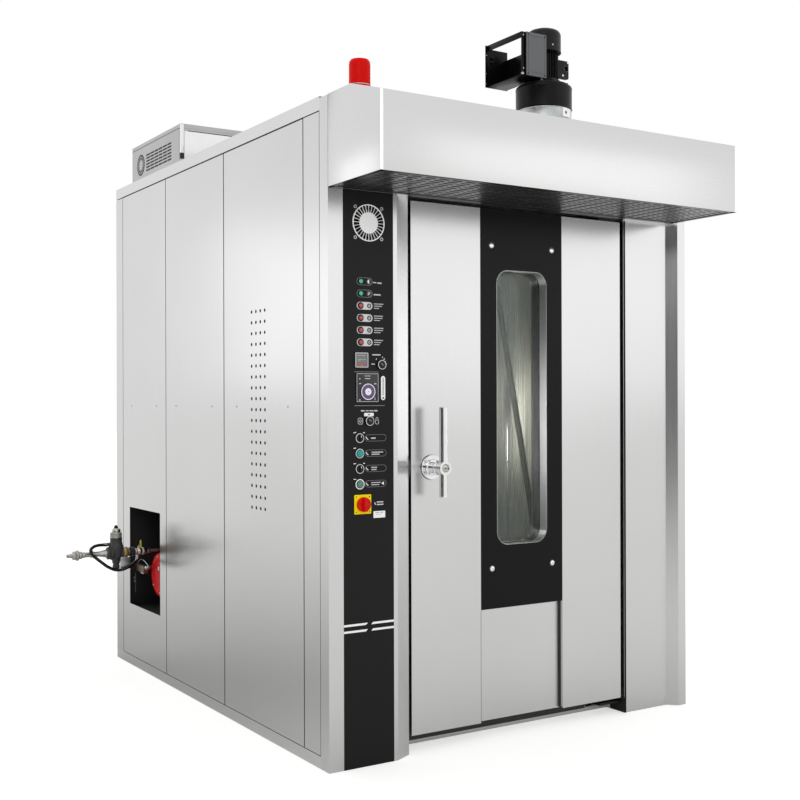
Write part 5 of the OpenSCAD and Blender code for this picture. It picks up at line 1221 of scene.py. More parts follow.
@dataclass
class Door(Assembly):
    """The insulated door: pressed skins, a black window plate, two panes, a seal and its handle."""

    slot: ClassVar[str] = "polished_steel"
    body: ClassVar[str] = "door"
    window: tuple[float, float] = (850.0, 1224.0)
    opening: tuple[float, float] = (238.0, 1024.0)
    corner: float = 52.0
    screw_x: tuple[float, float] = (707.0, 993.0)
    screw_z: tuple[float, float] = (628.0, 1824.0)
    grip: tuple[float, float] = (437.0, 1012.0)
    tube_y: float = -43.0
    tube_radius: float = 15.0
    tube_ends: tuple[float, float] = (910.0, 1227.0)
    rose_radius: float = 44.0

    def window_frame(self) -> None:
        """Line the window with a bright sleeve, and bed both panes in black gaskets."""
        front = span("door_black_panel")[0].y
        for name, play, start, deep, edge, rim, finish, slot in (
                ("window_sleeve", 0.6, 0.4, 42.6, 0, 1.1, "stainless_satin_sleeve", "brushed_sheet"),
                ("outer_gasket", 1.0, 41.4, 2.2, 0.4, 2.4, "rubber_black", "hose_rubber"),
                ("core_sleeve", 0.6, 50.4, 29.0, 0, 1.1, "stainless_steamed_and_shaded", "door_core")):
            outline = rounded(*self.window, *(side - play for side in self.opening), self.corner, 12)
            self.put(name, plate(Plane.FRONT, outline, front + start, deep, edge, rim), finish, slot)

    def lower_seams(self) -> None:
        """Shade both edges of the recessed panel under the black plate."""
        low, (near, far) = span("door_skins")[0], span("door_black_panel")
        seams = [block((near.x - 1.9, low.y - 0.2, low.z + 2), (near.x - 0.5, low.y + 0.6, near.z - 1)),
                 block((far.x + 0.3, low.y + 11, low.z + 2), (far.x + 1.3, low.y + 21.5, near.z - 1))]
        self.put("door_lower_seams", seams, "rubber_black", "door_core")

    def plate_screws(self) -> None:
        """Hold the black plate with four domed screws on dark washers."""
        front = span("door_black_panel")[0].y
        places = [Vector((x, front, z)) for x in self.screw_x for z in self.screw_z]
        self.put("plate_screw_heads", screws(places, FRONT, 10, 4.2), "stainless_polished",
                 instead_of=("door_screws",))
        ring = [(9.4, -0.4), (12.6, -0.4), (12.6, 0.7), (11.8, 1.2), (9.4, 1.2)]
        washers = row(turned(places[0], FRONT, ring, 0.2, 32), (place - places[0] for place in places[1:]))
        self.put("plate_screw_washers", washers, "zinc_dark", "black_plate")

    def lever(self) -> None:
        """Finish the lever tube: rolled rims, end plugs, collars on the neck and a cap on the boss."""
        (x, z), y, r = self.grip, self.tube_y, self.tube_radius
        low, high = self.tube_ends
        rim = [(r - 3.2, -1.8), (r - 0.1, -1.8), (r + 0.35, -0.6), (r + 0.35, 0.6), (r - 0.8, 1.2), (r - 3.2, 0.6)]
        plug = [(0, -3), (r - 3.3, -3), (r - 3.3, 0), (r - 5, 1), (4, 1.8), (0, 1.8)]
        for name, profile, inset, steps, finish, slot in (
                ("lever_rims", rim, 1.2, 48, "stainless_polished", "polished_steel"),
                ("lever_plugs", plug, 6.0, 40, "phenolic_black", "cast_black")):
            self.put(name, [turned((x, y, high - inset), UP, profile, 0.3, steps),
                            turned((x, y, low + inset), DOWN, profile, 0.3, steps)], finish, slot, "handle")
        collar = [(22, -1), (25.6, -1), (26.4, 1), (26.4, 4.6), (25, 6.4), (22, 6.4)]
        foot = [(22, -0.2), (29, -0.2), (29, 2.2), (26, 4.4), (22, 5.6)]
        self.put("neck_collars", [turned((x, -16, z), FRONT, collar, 0.4, 56),
                                  turned((x, 27.6, z), FRONT, foot, 0.4, 56)], "stainless_polished", body="handle")
        front = span("handle_lever")[0].y
        cap = [(0, -0.6), (15.4, -0.6), (15.4, 1), (13.2, 2.8), (6, 3.8), (0, 4)]
        self.put("boss_cap", turned((x, front + 7.2, z), FRONT, cap, 0.4), "nickel_plated", body="handle")
        self.put("boss_socket", rod((x, front + 3.6, z), (x, front + 3, z), 3.4, sides=6), "phenolic_black",
                 "cast_black", "handle")

    def rose(self) -> None:
        """Finish the handle's rose with a bright rim, a dark gasket and four screws."""
        (x, z), r = self.grip, self.rose_radius
        front = span("handle_rose")[0].y + 2
        rim = [(r - 3.4, -0.5), (r - 0.2, -0.5), (r - 0.6, 0.9), (r - 2.6, 1.6), (r - 3.4, 1)]
        gasket = [(r - 0.2, -5.8), (r + 1.2, -5.8), (r + 1.2, -4.6), (r - 0.2, -4.6)]
        self.put("rose_rim", turned((x, front, z), FRONT, rim, 0.3, 64), "stainless_polished")
        self.put("rose_gasket", turned((x, front, z), FRONT, gasket, 0.2, 64), "rubber_black", "hose_rubber")
        places = [(x + (r - 10) * math.cos(t), front - 1.8, z + (r - 10) * math.sin(t))
                  for t in (math.radians(a) for a in (45, 135, 225, 315))]
        self.put("rose_screws", screws(places, FRONT, 4.6, 1.8), "stainless_polished")

    def build(self) -> None:
        """Dress the door and its handle."""
        self.dress("plate_black", "door_black_panel")
        self.dress("stainless_brushed_upright", "door_core")
        self.dress("float_glass", "window_glass")
        self.dress("stainless_polished", "handle_lever", "handle_rose", "latch_bolt")
        self.dress("rubber_black", "door_seal")
        for make in (self.window_frame, self.lower_seams, self.plate_screws, self.lever, self.rose):
            make()


@dataclass
class Hood(Assembly):
    """The steam hood over the door, with its slotted filter plate, the roof box and the beacon."""

    slot: ClassVar[str] = "grille_steel"
    width: float = 1600.0
    reach: float = 340.0
    low: float = 1969.0
    face_top: float = 2223.0
    top: float = 2280.0
    bend: float = 153.0
    back: float = 135.0
    wall: float = 2.0
    lip: float = 1.8
    spigot: tuple[float, float] = (890.0, -48.0)
    spigot_hole: float = 101.0
    slots: tuple[int, int] = (29, 10)
    slot_pitch: tuple[float, float] = (53.0, 28.0)

    def shell(self) -> None:
        """Fold the hood from sheet, with painted highlights on its front corners and darker lips in painted shade, in
        place of the CAD one.
        """
        wall, face, low, top, width = self.wall, -self.reach, self.low, self.top, self.width
        fold = [(face, low), (face, self.face_top), (-self.bend, top), (0, top), (0, top - wall),
                (-self.bend + 0.5, top - wall), (face + wall, self.face_top - 1.4), (face + wall, low)]
        side = [(face + 0.3, low), (face + 0.3, self.face_top - 0.6), (-self.bend, top - 0.6), (-1, top - 0.6),
                (-1, low)]
        x, y = self.spigot
        front = cut(plate(Plane.SIDE, fold, 0, width, 0.9),
                    rod((x, y, top - 20), (x, y, top + 20), self.spigot_hole, sides=64))
        cheeks = [plate(Plane.SIDE, side, level, 1.8, 0.5) for level in (0.15, width - 1.95)]
        rear = block((2.2, -1.6, low + 0.5), (width - 2.2, -0.2, top - 2.2), 0.3)
        deck = cut(block((3, -1, top - 1.9), (width, self.back, top - 0.1), 0.5),
                   rod((x, y, top - 20), (x, y, top + 20), self.spigot_hole, sides=64),
                   block((-1, 58.6, top - 20), (3.2, self.back + 1, top + 1)))
        lips = [block((x0, y0, low), (x1, y1, low + self.lip), 0.5) for x0, y0, x1, y1 in (
            (1, face + 1, width - 1, face + 22), (0.5, face + 1, 22, -1),
            (width - 22, face + 1, width - 0.5, -1), (1, -22, width - 1, -0.5))]
        # Each front corner carries a strip of painted highlight.
        corner_highlight_strips = [block((x, face - 0.2, low + 2), (x + 9.5, face + 0.9, self.face_top - 1)) for x in (0, width - 9.5)]
        self.put("hood_lips", lips, "stainless_shaded")
        self.put("hood_corner_highlights", corner_highlight_strips, "stainless_corner_highlight", "brushed_sheet")
        self.put("hood_folded_sheet", [front, *cheeks, rear, deck], "stainless_brushed_across", "brushed_sheet",
                 instead_of=("hood_shell",))

    def filter_plate(self) -> None:
        """Carry the slotted plate on ribs under a dark sheet of painted shade, and fill its slots with painted shade
        so that they show as dark openings.
        """
        low, high = span("hood_grille")
        ribs = [block((x + 180, low.y + 26, high.z), (x + 204, high.y - 26, high.z + 14), 1.5)
                for x in (low.x + 380 * i for i in range(4))]
        self.put("filter_ribs", ribs, "stainless_steamed_and_shaded")
        sheet = block((low.x + 4, low.y + 6, high.z + 15), (high.x - 4, high.y - 6, high.z + 17), 0.5)
        self.put("filter_shade", sheet, "primer_dark_and_shade")
        mid = (low + high) / 2
        (across, deep), (step_x, step_y) = self.slots, self.slot_pitch
        model = block((-18, -6, low.z - 0.35), (18, 6, low.z + 0.2))
        shades = [twin(model, (mid.x + step_x * (i - (across - 1) / 2), mid.y + step_y * (j - (deep - 1) / 2), 0))
                  for i in range(across) for j in range(deep)]
        bpy.data.objects.remove(model, do_unlink=True)
        self.put("grille_slot_shades", shades, "primer_dark_and_shade")

    def hood_screws(self) -> None:
        """Fix the hood's deck with small screws."""
        places = [(x, 110, self.top - 0.1) for x in (60, 420, 1240, 1560)]
        self.put("hood_deck_screws", screws(places, UP, 5), "zinc_plated", "polished_steel")

    def beacon(self) -> None:
        """Turn the beacon: a foot, a bright ring and a ribbed lens with a domed top, in red."""
        low, high = span("beacon")
        mid, tall = (low + high) / 2, high.z - low.z
        ribs = [(35.6 + out, 17 + 6.6 * i + up) for i in range(10)
                for out, up in ((0, 0), (0.4, 2.2), (0.4, 4.4), (0, 6.6))]
        lens = [(0, 10), (35.4, 10), (35.6, 15), *ribs, (34.6, tall - 9), (30, tall - 3), (22, tall - 0.6),
                (0, tall - 0.1)]
        foot = [(0, 0), (36.8, 0), (36.8, 9), (36.2, 10.6), (0, 10.6)]
        ring = [(35.4, 11), (36.9, 11), (36.9, 13.6), (35.4, 13.6)]
        for name, profile, edge, finish, slot, nodes in (
                ("beacon_lens", lens, 0, "polycarbonate_red", "beacon_red", ("beacon",)),
                ("beacon_foot", foot, 0.5, "polycarbonate_red", "beacon_red", ()),
                ("beacon_ring", ring, 0.3, "zinc_plated", "polished_steel", ())):
            self.put(name, turned((mid.x, mid.y, low.z), UP, profile, edge, 64), finish, slot, instead_of=nodes)

    def roof_box(self) -> None:
        """Finish the roof box: lid, fan guard, louvres, seams, front skin and corner post; the lid, skin and post
        carry a painted highlight, the louvres painted shade.
        """
        (x, y0, z0), (x1, y1, z1) = span("roof_box")
        # The lid is painted brighter than the box's sides, as a painted highlight.
        self.put("roof_box_lid", block((x + 0.2, y0 + 0.2, z1 - 1.4), (x1 - 0.2, y1 - 0.2, z1 - 0.05), 0.6),
                 "stainless_roof_box_lit", "brushed_sheet")
        y, z = y0 + (y1 - y0) * 0.81, z0 + 63
        shade = [(25, -0.4), (49, -0.4), (49, 0.3), (25, 0.3)]
        ring = [(36, 0), (38.4, 0), (38.4, 0.9), (36, 0.9)]
        self.put("guard_shade", turned((x, y, z), LEFT, shade), "primer_dark_and_shade")
        # The guard's ring and spokes take the box's darker sheet, as painted shade.
        spoke = block((x - 0.9, y - 1.3, z + 24), (x + 0.2, y + 1.3, z + 47), 0.3)
        self.put("roof_box_guard", [turned((x, y, z), LEFT, ring, 0.2), *spread(spoke, 20, (0, y, z), "X")],
                 "stainless_roof_box_shaded", "brushed_sheet")
        # The louvres' openings are blocks of painted shade.
        louvres = [block((x - 0.2, y - 1, z - 1.4), (x + 0.5, y + 46, z + 6))
                   for y in (y0 + 109 + 53 * i for i in range(6)) for z in (z0 + 24 + 14 * j for j in range(6))]
        self.put("roof_box_slot_shades", louvres, "primer_dark_and_shade")
        seams = [block((x - 0.2, y0 + 14, z1 - 19), (x + 0.6, y1 - 4, z1 - 17)),
                 block((x + 34, y0 - 0.2, z1 - 30), (x1 - 8, y0 + 0.6, z1 - 27.4)),
                 block((x - 0.2, y0 + 15, z0 + 4), (x + 0.6, y0 + 16.4, z1 - 17)),
                 block((x - 0.3, y0 - 0.3, z0 + 8), (x + 16, y0 + 9, z0 + 34))]
        self.put("roof_box_seams", seams, "primer_dark_and_shade")
        # The front skin and the corner post are painted brighter, as a painted highlight.
        skin = block((x + 18, y0 - 0.15, z0 + 4), (x1 - 2, y0 + 1, z1 - 31), 0.2)
        post = block((x - 0.35, y0 - 0.35, z0 + 34), (x + 15, y0 + 8, z1 - 1.5), 1.2)
        self.put("roof_box_front", [skin, post], "stainless_roof_box_lit", "brushed_sheet")
        # A dark sheet of painted shade behind the louvres.
        self.put("roof_box_louvre_shade", block((x + 12, y0 + 60, z0 + 8), (x + 14, y1 - 20, z1 - 24), 0.5), "primer_dark_and_shade")

    def build(self) -> None:
        """Dress the hood and what stands on the roof at the front."""
        self.dress("stainless_steamed_and_shaded", "hood_grille")
        for make in (self.shell, self.filter_plate, self.hood_screws, self.beacon, self.roof_box):
            make()


@dataclass
class Extractor(Assembly):
    """The steam extractor on the hood: spun casing, finned motor, cowl, terminal box and bracket."""

    slot: ClassVar[str] = "cast_black"
    axis: tuple[float, float] = (890.0, -48.0)
    collar_low: float = 2280.0
    casing_low: float = 2323.0
    casing_top: float = 2413.0
    flange_top: float = 2427.0
    fins_top: float = 2539.0
    radius: float = 105.0
    motor_radius: float = 48.0
    cowl_radius: float = 65.0
    cowl_height: float = 88.0
    fins: int = 28
    box_face: tuple[float, float, float] = (757.0, 850.0, -114.0)
    box_height: float = 158.0

    def lathe(self, level: float, profile: Outline, edge: float = 0.0, steps: int = 48) -> Piece:
        """Turn a part about the extractor's axis, from a level up."""
        return turned((*self.axis, level), UP, profile, edge, steps)

    def spun_casing(self) -> None:
        """Spin the casing with a rolled top edge, over a bright spigot ring with its tag."""
        (x, y), r, tall, low = self.axis, self.radius, self.casing_top - self.casing_low, self.collar_low
        outer = [(r - 3.5, 0), (r - 0.4, 0), (r, 1.2), (r, 4), (r - 1, 5.4), (r - 1, tall - 16), (r - 0.2, tall - 13),
                 (r - 0.2, tall - 9), (r - 2.4, tall - 4), (r - 8, tall - 1), (r - 16, tall), (r - 22, tall - 1.4),
                 (50, tall - 1.4), (50, tall), (16, tall), (16, tall - 6), (r - 12, tall - 7), (r - 4.5, tall - 12),
                 (r - 3.8, tall - 20)]
        self.put("extractor_spun_casing", self.lathe(self.casing_low, outer, steps=96), "paint_black_satin",
                 instead_of=("extractor_housing",))
        ring = [(r - 5, 0), (r - 2.1, 0), (r - 2.1, 2.6), (r - 3.2, 3.4), (r - 3.2, 38), (r - 2.1, 39),
                (r - 2.1, 42.8), (r - 5, 42.8)]
        self.put("spigot_ring", self.lathe(low, ring, 0.3, 96), "zinc_plated", "fan_steel",
                 instead_of=("fan_collar",))
        tag = cut(rod((x, y, low + 8), (x, y, low + 40), r - 1.7, 0, 96),
                  rod((x, y, low), (x, y, low + 60), r - 2.3, 0, 96),
                  block((x - 120, y - 60, low - 10), (x + 120, y + 120, low + 60)),
                  block((x - 120, y - 120, low - 10), (x + 4, y - 40, low + 60)),
                  block((x + 52, y - 120, low - 10), (x + 120, y - 40, low + 60)))
        self.put("spigot_tag", tag, "ink_white_painted_glow", "guard_white")
        spot = Vector((x + 22, y - math.sqrt((r - 1.8) ** 2 - 22 ** 2), low + 24))
        way = (spot - Vector((x, y, spot.z))).normalized()
        self.put("tag_dot", rod(spot - way * 0.6, spot + way * 0.35, 5.2, sides=24), "ink_black", "black_plate")

    def shield(self) -> None:
        """Cast the motor's end shield as a flared foot with four bolts."""
        (x, y), low, r = self.axis, self.casing_top, self.motor_radius
        foot = [(12, 0), (94, 0), (94, 3), (91, 5), (74, 11), (64, 17), (58, 24), (r + 2, 29), (r - 4, 29), (12, 14)]
        self.put("motor_end_shield", self.lathe(low, foot, 0.3, 72), "cast_painted_black")
        places = [(x + 84 * math.cos(t), y + 84 * math.sin(t)) for t in (math.radians(45 + 90 * i) for i in range(4))]
        self.put("shield_bolts", [rod((u, v, low + 4), (u, v, low + 12), 6.5, 0.5, 6) for u, v in places],
                 "zinc_dark", "polished_steel")

    def fins_and_lug(self) -> None:
        """Ring the motor's body with fins, and cast the cable lug at its side."""
        (x, y), r, low, high = self.axis, self.motor_radius, self.flange_top, self.fins_top
        core = self.lathe(low, [(11.5, 0), (r, 0), (r, high - low), (11.5, high - low)], 0.4, 64)
        fin = block((x + r - 2, y - 1.4, low + 9), (x + r + 6, y + 1.4, high - 1), 1.1, 3)
        self.put("motor_finned_body", [core, *spread(fin, self.fins, (x, y, 0), "Z")], "paint_black_satin",
                 instead_of=("motor_body",))
        lug = cut(plate(Plane.FRONT, rounded(x + 75, low + 60, 56, 68, 7), y - 22, 14, 1.6),
                  rod((x + 88, y - 40, low + 64), (x + 88, y + 20, low + 64), 12, sides=40))
        self.put("lug", lug, "cast_painted_black")
        eye = [(9.5, 0), (13.4, 0), (13.4, 1), (12.2, 2), (9.5, 2)]
        back = [(0, -12), (12.2, -12), (12.2, -6), (0, -6)]
        self.put("lug_gland", [turned((x + 88, y - 21.8, low + 64), FRONT, profile, 0.3, 40)
                               for profile in (eye, back)], "rubber_black", "hose_rubber")
        self.put("lug_screw", screws([(x + 74, y - 21.9, low + 38), (x + 97, y - 21.9, low + 88)], FRONT, 4.2, 2.4),
                 "stainless_polished", "polished_steel")

    def cowl(self) -> None:
        """Press the fan cowl: a skirt with a rolled foot, a stepped dome with rings, and fixing screws."""
        (x, y), r, tall, low = self.axis, self.cowl_radius, self.cowl_height, self.fins_top
        shoulder = [(r - 1.2 - 22 * (1 - math.cos(t)), tall - 26 + 22 * math.sin(t))
                    for t in (math.pi / 2 * i / 8 for i in range(1, 8))]
        skin = [(r - 3, 0), (r - 0.1, 0), (r - 0.1, 3), (r - 1.2, 4.4), (r - 1.2, tall - 26), *shoulder,
                (r - 26, tall - 3.4), (r - 27, tall - 1.8), (r - 29, tall - 0.8), (20, tall - 0.2), (0, tall - 0.2),
                (0, tall - 3.4), (r - 30, tall - 4), (r - 12, tall - 10), (r - 4.4, tall - 28)]
        self.put("motor_fan_cowl", self.lathe(low, skin, steps=72), "cast_painted_black", instead_of=("motor_cowl",))
        self.put("cowl_floor", self.lathe(low, [(12, 1), (r - 3.5, 1), (r - 3.5, 3), (12, 3)]), "primer_dark_and_shade")
        heads: list[Piece] = []
        for turn in (math.radians(degrees) for degrees in (-98, -8, 82, 172)):
            way = (math.cos(turn), math.sin(turn), 0.0)
            heads += screws([(x + (r - 1) * way[0], y + (r - 1) * way[1], low + 18)], way, 3.6, 2)
        self.put("cowl_screws", heads, "zinc_plated", "polished_steel")
        rings = [[(a, -0.4), (a + 2.4, -0.4), (a + 1.9, 0.35), (a + 0.5, 0.35)] for a in (12, 21, 30)]
        self.put("cowl_rings", [self.lathe(low + tall - 0.4, ring) for ring in rings], "cast_painted_black")

    def terminal(self) -> None:
        """Fit the terminal box with its grey lid, and the folded bracket that carries it."""
        (x0, x1, face), low, tall = self.box_face, self.flange_top, self.box_height
        high, left, back = low + tall, x0 - 16, 105
        u, v, width = (x0 + x1) / 2, (low + high) / 2, x1 - x0
        body = [block(a, b, edge) for a, b, edge in (
            ((x0, face + 2, low), (x1, face + 12, high), 1.2),
            ((left, face + 9, low), (x0 + 1, face + 12, high), 0.6),
            ((left, face + 12, low), (x1 - 20, back, low + 3), 0.6),
            ((left, back - 3, low), (x1 - 14, back, high - 12), 0.6),
            ((left, face + 12, high - 22), (left + 4, back, high), 0.8),
            ((left - 8, back - 3, low), (left, back, high), 0.6))]
        arm = [(face + 12, low), (face + 12, high - 40), (face + 44, high - 44), (back, high - 44), (back, low)]
        self.put("terminal_box_and_bracket", [*body, plate(Plane.SIDE, arm, x1 - 23, 3, 0.5)], "paint_black_satin",
                 instead_of=("terminal_box",))
        lid = cut(plate(Plane.FRONT, rounded(u, v, width - 0.4, tall - 0.4, 3), face + 0.1, 4, 1.4),
                  plate(Plane.FRONT, rounded(u, v, width - 15, tall - 24, 4), face - 1, 2.4, rim=1.8))
        self.put("terminal_lid", lid, "stove_enamel_grey", "instrument_grey")
        ledges = [rounded(u, z, width - 24, 2, 0.9) for z in (high - 20.5, low + 20.5)]
        self.put("terminal_lid_ledges", prints(ledges, face - 0.2, thickness=0.7), "stove_enamel_grey",
                 "instrument_grey")
        heads = [rod((p, face + 1.1, q), (p, face + 0.05, q), 3.4, sides=20)
                 for p, q in ((u + sx * (width / 2 - 8), v + sz * (tall / 2 - 8))
                              for sx, sz in ((-1, 1), (1, -1), (1, 1), (-1, -1)))]
        self.put("terminal_lid_screws", heads, "cast_painted_black", "polished_steel")
        rivets = [rod((left - 4.2, back - 2.5, low + h), (left - 4.2, back - 4.6, low + h), 2.6, 0.5, 16)
                  for h in (14, 52, 120)]
        rivets += [rod((left + 8.5, face + 9.5, z), (left + 8.5, face + 7.2, z), 3.2, 0.5, 16)
                   for z in (low + 26, high - 12)]
        nut = rod((left + 3, face + 11, low + 6), (left + 3, face + 4, low + 6), 5, 0.8, 6)
        self.put("bracket_rivets", [*rivets, nut], "nickel_plated", "polished_steel")
        self.put("bracket_bosses", [rod((left + 20, back - 2, high - h), (left + 20, back - 9, high - h), 6, 0.6, 24)
                                    for h in (62, 44)], "cast_painted_black")

    def build(self) -> None:
        """Dress the extractor."""
        self.dress("zinc_plated", "extractor_impeller")
        for make in (self.spun_casing, self.shield, self.fins_and_lug, self.cowl, self.terminal):
            make()


@dataclass
class GasTrain(Assembly):
    """The gas line on the left: inlet, regulator, valve with its lever, impulse hose and the red burner.

    Most heights and lengths are counted from the gas line, the rest from the burner's front.
    """

    slot: ClassVar[str] = "polished_steel"
    line: tuple[float, float] = (1749.0, 562.0)
    regulator_x: float = -141.0
    valve_x: float = -32.0
    burner: tuple[float, float, float] = (60.0, 1749.0, 444.0)
    burner_radius: float = 102.0
    hose_radius: float = 7.0
    hose_route: tuple[tuple[float, float, float], ...] = (
        (-185, 0, 38), (-206, -4, 40), (-232, -12, 40), (-256, -24, 34), (-268, -32, 22), (-262, -36, 4),
        (-244, -38, -14), (-220, -40, -34), (-188, -40, -58), (-146, -38, -74), (-98, -34, -66), (-62, -20, -50),
        (-42, -4, -38), (-40, 0, -30))
    bay: tuple[float, float, float, float] = (1548.0, 1982.0, 272.0, 766.0)
    bay_ends: tuple[float, float] = (3.2, 236.0)
    sheet: float = 1.5

    def along(self, profile: Outline, edge: float = 0.3) -> Piece:
        """Turn a part about the gas line; the profile's heights are x in mm."""
        return turned((0, *self.line), RIGHT, profile, edge)

    def upright(self, profile: Outline, edge: float = 0.3, steps: int = 48) -> Piece:
        """Turn a part about the regulator's upright axis; the profile's heights start at the gas line."""
        return turned((self.regulator_x, *self.line), UP, profile, edge, steps)

    def inlet(self) -> None:
        """Turn the inlet: a stepped hose tail, a union nut and a pipe with a flared end."""
        y, z = self.line
        tail = [(3, -366.6), (6, -366.6), (8.4, -363), (7.4, -359), (9.4, -351), (8.2, -348), (11.6, -343),
                (12.6, -340), (12.6, -336), (3, -336)]
        pipe = [(4, -300), (13, -300), (13, -286), (11.4, -284), (11.4, -262), (14.4, -260), (14.4, -244), (12, -241),
                (12, -222), (13.6, -212), (16.6, -198), (18.4, -190), (18.4, -184), (4, -184)]
        collar = [(10, -326), (20, -326), (23.4, -323), (23.4, -316), (20, -313), (10, -313)]
        waist = [(10, -314), (17, -314), (17, -300), (13, -297), (10, -297)]
        self.put("gas_inlet_fittings", [*(self.along(profile) for profile in (tail, pipe, collar, waist)),
                                        rod((-340, y, z), (-325, y, z), 19.5, 1.4, 6)], "nickel_plated",
                 instead_of=("gas_inlet_nozzle",))
        self.put("pipe_test_plug", rod((-252, y, z + 12), (-252, y, z + 18), 4.6, 0.8, 6), "brass_turned")

    def regulator(self) -> None:
        """Cast the regulator: flared body, narrow foot, wide inlet flange, outlet and hose port."""
        y, z = self.line
        body = [(0, -34), (20, -34), (23, -28), (27, -14), (31, 4), (33.4, 18), (33.4, 28), (30, 38), (27, 48),
                (26.4, 60), (27, 61), (27, 69), (25.4, 70), (0, 70)]
        foot = [(0, -71.6), (13, -71.6), (15.6, -69.5), (15.6, -56), (14, -54), (14, -48), (17.4, -46), (17.4, -32),
                (20, -26), (0, -26)]
        flange = [(0, -184), (24, -184), (28, -181), (28, -175), (25, -173), (25, -170), (30, -168), (30, -158),
                  (26, -152), (0, -152)]
        outlet = [(0, -122), (21.5, -122), (21.5, -108), (18.5, -104), (18.5, -99.5), (0, -99.5)]
        self.put("regulator_casting", [
            self.upright(body, 0.6, 56), self.upright(foot, 0.4), self.along(flange, 0.6), self.along(outlet),
            rod((-185, y, z + 40), (-140, y, z + 40), 7.6, 0.6)], "cast_painted_grey", "cast_black",
            instead_of=("gas_regulator",))

    def regulator_head(self) -> None:
        """Top the regulator with a bright ribbed collar and dome, a black tip, a tag and a side cap."""
        x, (y, z) = self.regulator_x, self.line
        wave = [(radius, start + i * 3.2) for i in range(6) for radius, start in ((25.8, 71), (24.6, 72.6))]
        collar = [(0, 69.5), (26, 69.5), *wave, (25.6, 91), (23.5, 93.5), (0, 93.5)]
        dome = [(0, 93), (19, 93), (19.6, 97), (18.6, 103), (16, 108.5), (12, 112), (0, 112.5)]
        rib = block((x + 24.6, y - 1, z + 71.5), (x + 26.3, y + 1, z + 90.5), 0.5)
        self.put("regulator_collar_bright", [self.upright(collar, 0, 56), self.upright(dome),
                                             *spread(rib, 30, (x, y, 0), "Z")], "nickel_plated")
        tip = [(0, 112), (9, 112), (9, 117), (7.4, 121.5), (3.5, 125.6), (0, 126)]
        self.put("regulator_tip", self.upright(tip, 0.3, 40), "phenolic_black", "cast_black")
        self.put("dome_spot", rod((x + 14, y - 14, z + 103), (x + 15.2, y - 15.2, z + 103.4), 3.4, 0.4, 20),
                 "phenolic_black", "cast_black")
        self.put("regulator_tag", plate(Plane.FRONT, rounded(x + 36, z - 44, 46, 48, 2), y - 24, 1.4, 0.4),
                 "zinc_plated")
        self.put("tag_arm", block((x + 14, y - 22.6, z - 38), (x + 22, y - 8, z - 30), 0.8), "zinc_plated")
        cap = [(0, 0), (11, 0), (11, 9), (8, 13), (0, 13)]
        self.put("regulator_cap", turned((x, y - 14, z - 20), (0, -1, 0.35), cap, 0.6, 32), "rubber_black",
                 "cast_black")

    def valve(self) -> None:
        """Fit the brass nipple, the black ring, the bright valve and its yellow lever."""
        x, (y, z) = self.valve_x, self.line
        neck = [(6, -90), (17, -90), (17, -78), (6, -78)]
        self.put("brass_nipple", [rod((-110, y, z), (-88, y, z), 24, 1.8, 6), self.along(neck)], "brass_turned")
        ring = [(8, -82), (18, -82), (21, -79), (21, -72), (18.2, -70), (18.2, -67), (21, -65), (21, -57),
                (17, -53.5), (8, -53.5)]
        self.put("valve_ring", self.along(ring, 0.5), "rubber_black", "hose_rubber")
        body = [(5, -54), (15, -54), (16.2, -51), (16.2, -46), (13, -43), (17.5, -36), (18.5, -31), (17.5, -26),
                (13, -20), (13.6, -17), (16.2, -14), (16.2, 2.5), (14, 5), (5, 5)]
        self.put("ball_valve_bright", [
            self.along(body, 0.4), rod((-17, y, z), (-5, y, z), 18, 1, 6),
            rod((x, y, z + 10), (x, y, z + 24), 4, 0.4, 24), rod((x, y, z + 10), (x, y, z + 16.6), 8.5, 0.5),
            rod((x - 8, y, z - 30), (x - 8, y, z - 10), 7.8, 0.6, 6)],
            "nickel_plated", instead_of=("ball_valve",))
        hub = [(4.2, 17), (9, 17), (9, 21), (8, 22), (4.2, 22)]
        self.put("valve_lever_dipped", [
            turned((x, y, z), UP, hub, 0.3, 32), block((x - 3.2, y - 22, z + 17.4), (x + 3.2, y - 5, z + 20.2), 0.8),
            block((x - 4.2, y - 24, z + 17.4), (x + 4.2, y - 20.4, z + 40), 1.2),
            rod((x, y - 21.6, z + 34), (x, y - 21.6, z + 52.6), 4.6, 1.6, 24, 3.4)], "vinyl_yellow", "lever_yellow",
            "gas_lever", ("valve_lever",))
        self.put("lever_nut", rod((x, y, z + 22), (x, y, z + 25.4), 5.2, 0.5, 6), "zinc_plated")

    def impulse_hose(self) -> None:
        """Bend the impulse hose through its route, with a ferrule at each end."""
        y, z = self.line
        route = [(a, y + b, z + c) for a, b, c in self.hose_route]
        self.put("impulse_hose_rubber", hose(route, self.hose_radius, 6), "rubber_gloss", "hose_rubber",
                 instead_of=("impulse_hose",))
        self.put("hose_ferrules", [rod((-199, y - 0.6, z + 42), (-184, y, z + 40), 7.6, 0.8),
                                   rod((-44, y - 4, z - 42), (-40, y, z - 29), 7.6, 0.8)], "nickel_plated")

